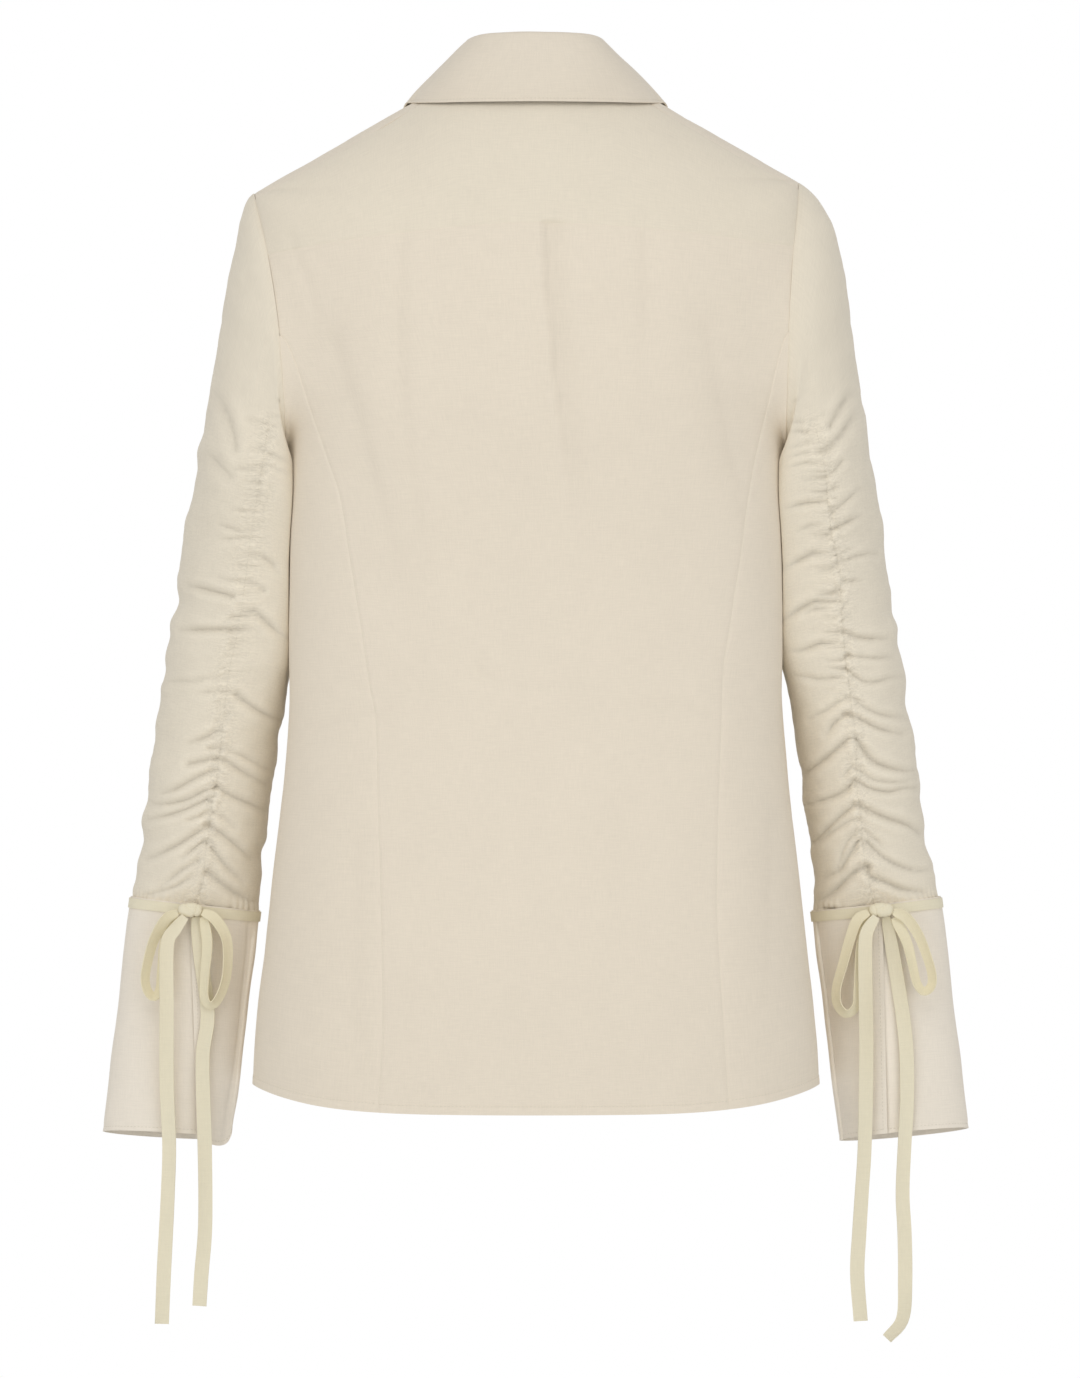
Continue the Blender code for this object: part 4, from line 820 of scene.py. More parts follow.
s = np.concatenate((-1 + steps(1.0, 0.013, (0.003, 0.008, 0.016))[:-1],
                    steps(1.0, 0.013, (0.003, 0.008, 0.016))))[None, :]
t = steps(0.10, 0.0024)[:, None]
topX, topZ = yokeTopPoint(s)
shrink = {side: yokeEnds[side][0] / armHole(side, "back", shoulderTurn)[0] for side in sides}
lowX = topX * np.where(s >= 0, shrink["left"], shrink["right"])
sign = np.where(s >= 0, 1.0, -1.0)
lowZ = yokeLine(sign * lowX)
bend = 1 - (1 - t) ** 1.25
x = sign * mix(lowX, topX, bend)
points = onBody("back", x, mix(lowZ, topZ, bend))
for side, j in (("right", 0), ("left", -1)):
    edgeX, edgeY, edgeZ = armHole(side, "back", mix(backSet["yokeTurn"], shoulderTurn, bend[:, 0]))
    points[:, j] = columns(armholes[side]["sign"] * edgeX, edgeY, edgeZ)
spread, height = lengths(points)
relief = torsoRelief(points, backFolds, 1)[0]
relief = relief + seamRoll(spread, height, 0.0003, 0.0003, 0.0004, 0.0005)
piece = layCloth("yoke", points, np.array((0.0, 0.0, -0.15)), backSet["wall"], yokeCotton, "yoke",
                 relief)
print("back made")


# Fronts and button band.
frontSet = {"lap": 0.0023, "bandWidth": 0.026, "bandEdge": 0.013, "underEdge": 0.010,
            "openFrom": -0.135, "wall": 0.0006, "grid": 0.0030, "sideTurn": 105.0,
            "bandLift": 0.0013, "bandWall": 0.0009}


def frontInner(side, r):
    # Front edge from the hem (0) up to the neck (1), round the neck (2) and on to the shoulder (3).
    shut = -(frontSet["underEdge"] if side == "left" else frontSet["bandEdge"])
    level = mix(bodyForm["hemFront"], neckForm["frontZ"], np.clip(r, 0.0, 1.0))
    edge = mix(shut, neckForm["frontX"], ramp(frontSet["openFrom"], neckForm["frontZ"], level))
    a = np.radians(90 * (1 - np.clip(r - 1, 0.0, 1.0)))
    neckX = neckForm["frontX"] + (neckForm["side"] - neckForm["frontX"]) * np.cos(a) ** 0.9
    neckZ = ridgeZ(neckForm["side"]) + (neckForm["frontZ"] - ridgeZ(neckForm["side"])) * np.sin(a)
    return np.where(r <= 1, edge, neckX), np.where(r <= 1, level, neckZ)


def frontOuter(side, r):
    # Outer edge for the same rows: side seam and low armhole, high armhole, shoulder.
    low = frontSet["sideTurn"]
    high = low + (180 - low) * np.clip(r - 1, 0.0, 1.0)
    return outerEdge(side, "front", np.where(r <= 1, r * (1 + low / 180), 1 + high / 180))


def frontPoints(side, r, s):
    innerX, innerZ = frontInner(side, r)
    outerX, outerY, outerZ = frontOuter(side, r)
    first = np.arcsin(np.clip(innerX / outerX, -1.0, 1.0))
    u = outerX * np.sin(mix(first, pi / 2, s))
    u = mix(u, mix(innerX, outerX, s), ramp(0.75, 1.0, r))
    t = np.clip((u - innerX) / (outerX - innerX), 0.0, 1.0)
    t = mix(t, t ** bodyForm["hemCurve"], np.maximum(0.0, 1 - r / 0.18))
    z = mix(innerZ, outerZ, t)
    points = columns(u, bodyDepth(side, "front", np.abs(u), z), z)
    points[:, -1] = columns(outerX, outerY, outerZ)[:, 0]
    return points


def shoulderPoints(side, t, s):
    # From the ridge back to the shoulder seam.
    first = frontPoints(side, np.full((1, 1), 2.0), s)[0]
    endX, endY, endZ = armHole(side, "back", shoulderTurn)
    lastX = mix(neckForm["seamX"], endX, s[0])
    lastZ = shoulderZ(side, lastX)
    u = mix(first[:, 0], lastX, t)
    z = mix(first[:, 2], lastZ, t ** 2)
    points = columns(u, bodyDepth(side, "back", np.abs(u), z), z)
    points[0] = first
    edgeX, edgeY, edgeZ = armHole(side, "back", mix(180.0, shoulderTurn, t[:, 0]))
    points[:, -1] = columns(edgeX, edgeY, edgeZ)
    return points


s = steps(0.21, frontSet["grid"])[None, :]
rows = np.concatenate((steps(0.65, frontSet["grid"], hemRows)[:-1],
                       1 + np.linspace(0.0, 1.0, 26)))[:, None]
frontGrids = {}
for side in sides:
    sign = armholes[side]["sign"]
    low = frontPoints(side, rows, s)
    high = shoulderPoints(side, np.linspace(0.0, 1.0, 12)[1:, None], s)
    points = np.concatenate((low, high)) * np.array((sign, 1.0, 1.0))
    out = facing(points, bodyCore, False)
    if side == "left":
        under = (1 - ramp(0.013, 0.045, points[..., 0])) * (1 - ramp(-0.085, -0.060, points[..., 2]))
        points = points - out * (frontSet["lap"] * under)[..., None]
    spread, height = lengths(points)
    relief = torsoRelief(points, frontFolds, 3)[0]
    relief = relief + seamRoll(spread, height, 0.0, 0.0004, 0.0, 0.0004)
    if side == "right":
        relief = relief * ramp(0.0, 0.020, spread - 0.024)[None, :]
    relief = relief + hemStep(height)
    piece = layCloth("front_" + side, points, bodyCore, frontSet["wall"], bodyCotton,
                     "front_" + side, relief)
    frontGrids[side] = (points, out)
print("fronts made")

points, out = frontGrids["right"]
wide = np.linalg.norm(np.diff(points, axis=1), axis=2)
band = []
places = np.linspace(0.0, 1.0, 15)
for i in range(len(rows)):
    if rows[i, 0] > 1.0:
        break
    run = np.concatenate(([0.0], np.cumsum(wide[i])))
    at = places * frontSet["bandWidth"] * 0.98
    spot = np.stack([np.interp(at, run, points[i, :, k]) for k in range(3)], axis=1)
    way = np.stack([np.interp(at, run, out[i, :, k]) for k in range(3)], axis=1)
    band.append(spot + way * frontSet["bandLift"])
points = np.array(band)
spread, height = lengths(points)
edgeGap = np.minimum(spread, spread[-1] - spread)
relief = (-0.0003 * np.exp(-((edgeGap - 0.0020) / 0.0006) ** 2))[None, :]
piece = layCloth("button_band", points, bodyCore, frontSet["bandWall"], bodyCotton, "button_band",
                 relief)


# Collar: a stand round the neck and a fall folded over it.
collarSet = {"wall": 0.0010, "ends": (0.03, 0.08, 0.16)}
# From the centre back (0) to the front end (9): top of the stand, then the outer edge of the fall.
collarCurves = {
    "topX": (0.0000, 0.0130, 0.0264, 0.0382, 0.0448, 0.0460, 0.0485, 0.0435, 0.0350, 0.0240),
    "topY": (0.0520, 0.0515, 0.0480, 0.0385, 0.0200, 0.0000, -0.0260, -0.0450, -0.0575, -0.0630),
    "topZ": (0.0397, 0.0397, 0.0395, 0.0385, 0.0362, 0.0340, 0.0185, -0.0030, -0.0190, -0.0260),
    "leafX": (0.0000, 0.0211, 0.0422, 0.0626, 0.0808, 0.0900, 0.0938, 0.0915, 0.0790, 0.0615),
    "leafZ": (-0.0050, -0.0050, -0.0048, -0.0045, -0.0035, -0.0020, -0.0140, -0.0380, -0.0620,
              -0.0820),
    "off": (0.0046, 0.0046, 0.0048, 0.0050, 0.0048, 0.0030, 0.0060, 0.0055, 0.0055, 0.0055),
}
collarAt = {name: stations(range(10), values) for name, values in collarCurves.items()}


def mirrored(build, k):
    # Run a half for each side of the centre back and join them.
    both = build("left", np.abs(k))
    other = build("right", np.abs(k)) * np.array((-1.0, 1.0, 1.0))
    return np.where((k >= 0)[..., None], both, other)


def neckPoints(side, k):
    u = neckForm["seamX"] * np.minimum(k, 4.0) / 4
    z = neckBack(u)
    behind = columns(u, bodyDepth(side, "back", u, z), z)
    r = np.interp(k, (4.0, 5.0, 9.0), (2.0, 2.0, 1.0))
    innerX, innerZ = frontInner(side, r)
    ahead = columns(innerX, bodyDepth(side, "front", innerX, innerZ), innerZ)
    t = np.clip(k - 4.0, 0.0, 1.0)[..., None]
    return np.where((k <= 4.0)[..., None], behind, mix(behind, ahead, t))


def collarTop(side, k):
    return columns(collarAt["topX"](k), collarAt["topY"](k), collarAt["topZ"](k))


def collarLeaf(side, k):
    x, z, off = collarAt["leafX"](k), collarAt["leafZ"](k), collarAt["off"](k)
    behind = bodyDepth(side, "back", x, z) + off
    ahead = bodyDepth(side, "front", x, z) - off
    return columns(x, mix(behind, ahead, ramp(4.6, 5.4, k)), z)


half = 9 * steps(9.0, 0.16, collarSet["ends"])
k = np.concatenate((-half[::-1][:-1], half))
top = mirrored(collarTop, k)
leaf = mirrored(collarLeaf, k)
base = mirrored(neckPoints, k)
ahead = np.gradient(top, axis=0)
away = np.cross(ahead, np.array((0.0, 0.0, 1.0)))
away /= np.linalg.norm(away, axis=1, keepdims=True)
away *= np.sign(np.sum(away * (top - np.array((0.0, -0.006, 0.0))), axis=1, keepdims=True))
ahead /= np.linalg.norm(ahead, axis=1, keepdims=True)
up = np.cross(ahead, away)
up *= np.sign(up[:, 2:3])
t = np.linspace(0.0, 1.0, 14)[:, None, None]
points = mix(base[None] + up[None] * 0.0006, top[None], t) + away[None] * (0.0012 * np.sin(pi * t))
core = np.array((0.0, -0.006, 0.0))
piece = layCloth("collar_stand", points, core, collarSet["wall"], collarCotton, "collar_stand")

# The fall: up from the stand, over a round fold and down to its outer edge.
fold = []
for lift, out in ((0.0010, -0.0002), (0.0022, 0.0002), (0.0031, 0.0011), (0.0035, 0.0022),
                  (0.0031, 0.0034), (0.0020, 0.0044)):
    fold.append(top + up * lift + away * out)
last = fold[-1]
t = steps(1.0, 0.045, (0.012, 0.030, 0.060))[1:, None, None]
bow = 0.0030 * np.sin(pi * t ** 0.8)
drop = mix(last[None], leaf[None], t) + away[None] * bow
points = np.concatenate((np.array(fold), drop))
spread, height = lengths(points)
edge = (height[-1] - height)[:, None]
ends = np.minimum(spread, spread[-1] - spread)[None, :]
gap = np.minimum(edge, ends)
relief = -0.00035 * np.exp(-((gap - 0.0024) / 0.0008) ** 2)
relief = relief + drift(points, 0.030, 0.0007, 8) * ramp(0.0, 0.012, gap)
core = np.array((0.0, -0.006, -0.03))
piece = layCloth("collar_fall", points, core, collarSet["wall"], collarCotton, "collar_fall",
                 relief)
print("collar made")


# Sleeves: a head from the armhole, then a tube gathered on a line down its back.
sleeveSet = {
    "level": (-0.575, -0.553, -0.525, -0.497, -0.469, -0.441, -0.413, -0.385, -0.357, -0.329, -0.301,
              -0.273, -0.235),
    "left": (0.2840, 0.2812, 0.2780, 0.2742, 0.2708, 0.2672, 0.2628, 0.2585, 0.2540, 0.2500, 0.2460,
             0.2412, 0.2360),
    "right": (0.2826, 0.2798, 0.2755, 0.2716, 0.2680, 0.2640, 0.2600, 0.2556, 0.2512, 0.2468, 0.2430,
              0.2384, 0.2330),
    "inner": (0.1955, 0.1945, 0.1917, 0.1878, 0.1843, 0.1800, 0.1755, 0.1685, 0.1645, 0.1630, 0.1630,
              0.1650, 0.1700),
    "innerRight": 0.0022,
    "slimmer": {"at": (-0.315, -0.273, -0.245, -0.217, -0.189, -0.161, -0.119, -0.091, -0.063, -0.045),
                "left": (0.0, 1.4, 2.6, 3.4, 4.2, 4.8, 4.8, 4.0, 2.4, 0.0),
                "right": (0.0, 0.3, 0.7, 1.4, 2.1, 2.6, 1.6, 0.2, 0.6, 0.0)},
    "middle": (-0.0380, -0.0380, -0.0370, -0.0355, -0.0345, -0.0340, -0.0330, -0.0310, -0.0290,
               -0.0265, -0.0215, -0.0140, -0.0080),
    "deep": (0.0270, 0.0300, 0.0340, 0.0375, 0.0405, 0.0430, 0.0450, 0.0470, 0.0490, 0.0510, 0.0535,
             0.0560, 0.0580),
    "headEnd": {"left": (-0.260, -0.242), "right": (-0.2585, -0.240)},
    "headRows": 58, "tubeRows": 290, "behindTurns": 108, "frontTurns": 28, "wall": 0.0006,
}
# How far the outline stands out or in at each level, in millimetres.
edgeBumps = {
    "left": {
        "outer": ((-215, 0.0), (-232, -0.4), (-247, 1.8), (-260, -0.9), (-276, -0.7), (-297, 0.9),
                  (-316, 0.3),
                  (-334, 1.1), (-351, -2.8), (-365, 1.2), (-377, 0.0), (-388, 0.7), (-401, -0.9),
                  (-411, 0.5),
                  (-421, -0.1), (-434, 1.0), (-448, -1.2), (-462, 0.0), (-477, 0.5), (-490, -0.6),
                  (-505, 1.7), (-519, -1.6), (-538, 0.9), (-546, 0.0), (-553, 1.2), (-560, 0.0)),
        "inner": ((-250, 0.0), (-300, 0.3), (-340, -0.4), (-380, 0.3), (-408, -0.3), (-430, 1.3),
                  (-445, -0.7),
                  (-461, 0.8), (-480, -0.2), (-493, -0.5), (-508, -0.2), (-518, 0.9), (-528, -1.4),
                  (-544, 0.4), (-560, 0.0)),
    },
    "right": {
        "outer": ((-200, 0.0), (-210, -0.3), (-225, 0.7), (-246, -0.6), (-262, 0.0), (-280, 0.3),
                  (-298, 0.8),
                  (-318, -0.4), (-336, 0.2), (-358, -1.0), (-370, 1.0), (-382, -0.8), (-403, 1.2),
                  (-422, -1.5), (-437, 0.4), (-450, 0.7), (-466, -0.6), (-477, 0.9), (-492, -0.4),
                  (-505, 0.2), (-520, -1.5), (-537, 1.7), (-550, 0.6), (-560, 0.0)),
        "inner": ((-250, 0.0), (-290, 0.4), (-330, -0.4), (-370, 0.4), (-410, -0.4), (-437, 0.3),
                  (-456, 0.6),
                  (-471, -0.9), (-491, 0.9), (-503, -0.2), (-517, -0.9), (-529, 0.7), (-545, -1.3),
                  (-556, 0.0), (-560, 0.0)),
    },
}
sleeveAt = {name: stations(sleeveSet["level"], sleeveSet[name])
            for name in ("left", "right", "inner", "middle", "deep")}
gatherLine = {
    "left": {"up": (-564, -547, -526, -498, -465, -433, -405, -372, -340, -310, -263, -224),
             "out": (240, 233, 231, 227, 222, 218, 215, 208, 203, 199, 191, 185)},
    "right": {"up": (-566, -545, -521, -498, -472, -454, -419, -396, -370, -335, -298, -256, -222),
              "out": (238, 233, 229, 227, 224, 224, 220, 217, 214, 212, 205, 200, 192)},
}
# Creases: depth and width, then points outward from the gathered line and up, in millimetres.
sleeveFolds = {
    "left": (
        (1.8, 4, (20, -246), (24, -234), (31, -219), (38, -206)),
        (1.0, 2.5, (5, -228), (15, -225)),
        (1.0, 2.5, (3, -236), (9, -234)),
        (0.8, 2, (-2, -223), (-8, -223)),
        (0.8, 2, (-3, -230), (-9, -230)),
        (2.0, 2.2, (-3, -249), (-15, -253)),
        (1.4, 2, (-6, -258), (-18, -262)),
        (1.2, 2.5, (6, -260), (19, -260)),
        (1.2, 4, (21, -265), (40, -248)),
        (1.2, 2.5, (0, -289), (15, -288)),
        (1.3, 2.5, (5, -304), (23, -298)),
        (1.2, 2.5, (2, -308), (21, -308)),
        (1.5, 2.5, (-7, -319), (-16, -324), (-22, -331)),
        (1.5, 2.5, (-14, -344), (-2, -335), (8, -337), (18, -335)),
        (2.4, 3, (7, -348), (23, -344), (40, -340)),
        (2.4, 3, (-1, -354), (-10, -358), (-19, -366), (-30, -374), (-37, -377)),
        (1.2, 2.2, (0, -360), (10, -365)),
        (2.8, 3, (4, -371), (22, -371), (40, -371)),
        (0.8, 2.5, (4, -405), (22, -405)),
        (1.0, 3, (19, -407), (45, -407)),
        (1.4, 2.4, (2, -414), (19, -415)),
        (2.4, 3, (-6, -416), (-19, -425), (-32, -432), (-39, -433)),
        (2.4, 3, (2, -441), (10, -446), (22, -450)),
        (1.2, 2.2, (0, -432), (6, -436)),
        (1.6, 2.5, (8, -454), (0, -454), (-13, -458), (-24, -463), (-35, -469)),
        (2.4, 3, (21, -465), (2, -461), (-6, -463), (-15, -469), (-35, -479)),
        (2.4, 3, (3, -469), (19, -477), (30, -484), (38, -486)),
        (2.6, 3, (-1, -481), (8, -484), (17, -490), (32, -493), (43, -493)),
        (2.4, 3, (-1, -481), (-9, -486), (-24, -492), (-38, -498)),
        (2.6, 3, (1, -488), (16, -496), (28, -500), (43, -504)),
        (1.6, 2.5, (15, -504), (1, -499), (-8, -501), (-18, -509)),
        (2.6, 3, (1, -508), (14, -518), (28, -526), (42, -532)),
        (2.2, 3, (1, -508), (-4, -510), (-17, -519), (-33, -532)),
        (1.8, 2.6, (4, -520), (16, -531)),
        (2.0, 2.6, (0, -520), (-6, -526), (-16, -538), (-28, -548)),
        (1.8, 2.6, (5, -533), (17, -540), (29, -551)),
        (1.6, 2.5, (10, -545), (20, -552), (36, -557)),
        (2.6, 3, (-2, -541), (-10, -547), (-25, -556), (-41, -562)),
    ),
    "right": (
        (2.6, 3.4, (11, -230), (19, -220), (27, -206)),
        (2.6, 3.4, (-1, -250), (5, -246), (17, -236), (26, -226), (31, -219)),
        (1.2, 2.4, (-4, -228), (13, -219)),
        (1.2, 2.4, (-2, -235), (7, -230)),
        (1.4, 2, (-8, -227), (-18, -227)),
        (1.6, 2, (-7, -234), (-19, -233)),
        (1.6, 2, (-7, -241), (-22, -245)),
        (1.4, 2, (-8, -248), (-23, -251)),
        (1.4, 2, (-8, -255), (-25, -258)),
        (1.6, 2.4, (14, -254), (6, -262), (-2, -267), (-15, -267)),
        (1.4, 2.2, (-1, -276), (9, -272)),
        (2.4, 2.6, (-3, -282), (-29, -286)),
        (1.6, 2.4, (2, -290), (12, -283), (23, -273)),
        (1.4, 2.4, (-5, -294), (-23, -303)),
        (2.4, 2.6, (1, -302), (9, -298), (21, -292)),
        (2.6, 2.8, (-3, -305), (-14, -317), (-26, -323), (-38, -328)),
        (1.4, 2.4, (0, -319), (14, -314)),
        (1.8, 2.6, (-8, -330), (3, -323), (22, -318), (30, -318)),
        (1.6, 2.4, (2, -337), (15, -337)),
        (3.2, 3.2, (-2, -344), (-13, -349), (-28, -356), (-42, -365)),
        (2.6, 2.8, (-4, -351), (-25, -360)),
        (2.6, 2.8, (-3, -372), (-9, -377), (-19, -382), (-31, -386), (-39, -386)),
        (2.6, 2.8, (1, -373), (12, -377), (31, -377)),
        (1.8, 2.6, (2, -389), (-8, -396)),
        (1.8, 2.6, (2, -389), (11, -390), (22, -391), (34, -390)),
        (1.8, 2.6, (-1, -398), (-13, -407), (-37, -403)),
        (1.8, 2.6, (-1, -398), (9, -407), (19, -408), (28, -405), (37, -404)),
        (1.8, 2.6, (-3, -417), (-15, -426), (-30, -433)),
        (1.6, 2.6, (-3, -417), (10, -421)),
        (1.8, 2.8, (4, -422), (17, -430), (37, -433)),
        (2.6, 2.8, (-5, -430), (-14, -436), (-20, -444)),
        (2.6, 2.8, (-5, -430), (3, -432), (16, -440), (33, -444)),
        (3.2, 3.2, (-5, -447), (-18, -458), (-35, -471)),
        (3.2, 3.2, (0, -447), (4, -454), (12, -463), (22, -467), (34, -470), (41, -470)),
        (2.0, 2.6, (-3, -467), (-8, -473)),
        (2.0, 2.6, (2, -468), (5, -472), (13, -477), (31, -478), (42, -475)),
        (2.6, 2.8, (-2, -477), (-7, -483), (-17, -488), (-35, -493)),
        (2.6, 2.8, (1, -477), (8, -482), (22, -485), (33, -482), (41, -482)),
        (3.2, 3.2, (-4, -494), (-17, -504), (-27, -513), (-34, -520)),
        (3.2, 3.2, (-1, -494), (18, -503), (33, -507), (42, -514)),
        (2.0, 2.6, (-2, -502), (-15, -509), (-30, -519)),
        (1.8, 2.6, (-4, -512), (-13, -522), (-20, -538)),
        (1.8, 2.6, (2, -513), (11, -519), (15, -525)),
        (2.6, 2.8, (-3, -519), (-13, -532), (-18, -540), (-31, -545)),
        (2.6, 2.8, (3, -520), (13, -531), (24, -537), (34, -540), (43, -540)),
        (3.4, 3.2, (-1, -537), (-11, -542), (-25, -554), (-37, -561)),
        (3.4, 3.2, (1, -537), (1, -545), (12, -548), (21, -553), (36, -555)),
        (2.0, 2.4, (-28, -567), (-38, -566)),
    ),
}
# Fewer, slacker ones on the side away from the gathers: across from the middle of the sleeve, and up.
frontSleeveFolds = {
    "left": (
        (1.6, 4.0, (-30, -262), (-12, -256), (10, -262)),
        (1.8, 4.0, (34, -300), (12, -296), (-8, -304)),
        (1.6, 3.6, (-32, -338), (-14, -330), (4, -334), (20, -344)),
        (2.0, 4.0, (36, -372), (16, -366), (-6, -374)),
        (1.6, 3.6, (-34, -398), (-10, -392), (12, -400)),
        (2.2, 4.0, (36, -432), (10, -424), (-12, -430), (-30, -442)),
        (1.8, 3.6, (-34, -462), (-8, -456), (18, -466)),
        (2.2, 3.8, (38, -490), (14, -484), (-14, -494)),
        (2.0, 3.6, (-34, -512), (-4, -506), (22, -516)),
        (2.2, 3.6, (38, -538), (8, -532), (-20, -544)),
    ),
    "right": (
        (1.8, 4.0, (30, -258), (8, -254), (-14, -264)),
        (1.6, 4.0, (-34, -292), (-10, -286), (10, -294)),
        (2.0, 3.8, (34, -326), (12, -318), (-10, -326)),
        (1.8, 3.8, (-34, -356), (-12, -350), (10, -358), (26, -366)),
        (2.2, 4.0, (36, -388), (10, -382), (-16, -392)),
        (1.8, 3.6, (-36, -420), (-8, -412), (14, -420)),
        (2.4, 4.0, (38, -452), (12, -444), (-14, -452), (-32, -462)),
        (2.0, 3.6, (-36, -482), (-6, -474), (20, -484)),
        (2.4, 3.8, (38, -508), (10, -500), (-16, -512)),
        (2.2, 3.6, (-36, -536), (-6, -528), (24, -540)),
    ),
}


gatherPaths = {}


def clearOfBody(x, y, z):
    centre = np.where(y > bodySide(z), backLine(z), frontLine(z))
    flank = bodySide(z)
    part = np.minimum(1.0, np.abs((y - flank) / (centre - flank)))
    wide = bodyHalf(z) * (1 - part ** (1 / bodyForm["bend"])) ** (1 / bodyForm["power"])
    least = wide + 0.0009 * np.clip((underarm - z) / 0.020, 0.0, 1.0)
    pushed = (x + least + np.sqrt((x - least) ** 2 + 0.0012 ** 2)) / 2
    return mix(x, pushed, ramp(0.0, 0.010, underarm - z))


def tube(side, turn, z):
    # Fuller behind, next to the body, where it leans on the back.
    a = np.radians(turn)
    outer, inner = sleeveAt[side](z), sleeveAt["inner"](z)
    if side == "right":
        inner = inner + sleeveSet["innerRight"] * ramp(-0.36, -0.42, z)
    full = np.where(turn < 90, mix(0.85, 0.36, ramp(-0.46, -0.39, z)), 1.0)
    across = np.sign(np.cos(a)) * np.abs(np.cos(a)) ** full
    x = (outer + inner) / 2 - (outer - inner) / 2 * across
    y = sleeveAt["middle"](z) + sleeveAt["deep"](z) * np.sign(np.sin(a)) * np.abs(np.sin(a)) ** full
    return columns(clearOfBody(x, y, z), y, z)


def sleeveBase(side):
    # Rows from the armhole down to the cuff; columns from the inner edge over the back.
    turn = np.concatenate((np.linspace(0.0, 180.0, sleeveSet["behindTurns"] + 1),
                           np.linspace(180.0, 360.0, sleeveSet["frontTurns"] + 1)[1:]))[None, :]
    a = np.radians(turn)
    inner, outer = sleeveSet["headEnd"][side]
    endZ = mix(inner, outer, (1 - np.cos(a)) / 2)
    backX, backY, backZ = armHole(side, "back", turn)
    foreX, foreY, foreZ = armHole(side, "front", 360 - turn)
    behind = turn <= 180
    start = columns(np.where(behind, backX, foreX), np.where(behind, backY, foreY),
                    np.where(behind, backZ, foreZ))
    end = tube(side, turn, endZ)
    upper = (1 - np.cos(a)) / 2
    way = columns(0.85, 0.30 * np.sin(a), mix(-0.05, -0.50, np.minimum(1.0, upper * 3)))
    way /= np.linalg.norm(way, axis=2, keepdims=True)
    first = start + way * mix(0.0040, armholes[side]["head"], upper ** 0.7)[..., None]
    run = np.linalg.norm(end - start, axis=2) * mix(0.30, 0.50, upper)
    second = end + np.array((-0.14, 0.10, 0.98)) * run[..., None]
    t = np.linspace(0.0, 1.0, sleeveSet["headRows"])[:, None, None]
    head = start * (1 - t) ** 3 + first * 3 * t * (1 - t) ** 2 + second * 3 * t * t * (1 - t)
    head = head + end * t ** 3
    cuff = cuffEdge(turn, 0.018) - cuffOut(turn) * 0.0014
    v = np.linspace(0.0, 1.0, sleeveSet["tubeRows"] + 1)[1:, None]
    level = mix(endZ, cuff[..., 2], v)
    low = tube(side, np.broadcast_to(turn, level.shape), level)
    low = mix(low, cuff, ramp(0.86, 1.0, v)[..., None])
    points = np.concatenate((head, low))
    slimmer = stations(sleeveSet["slimmer"]["at"], sleeveSet["slimmer"][side])
    rows = np.arange(len(points))[:, None]
    points[..., 0] -= 0.001 * slimmer(points[..., 2]) * upper ** 2 * ramp(0, 20, rows)
    return turn, points


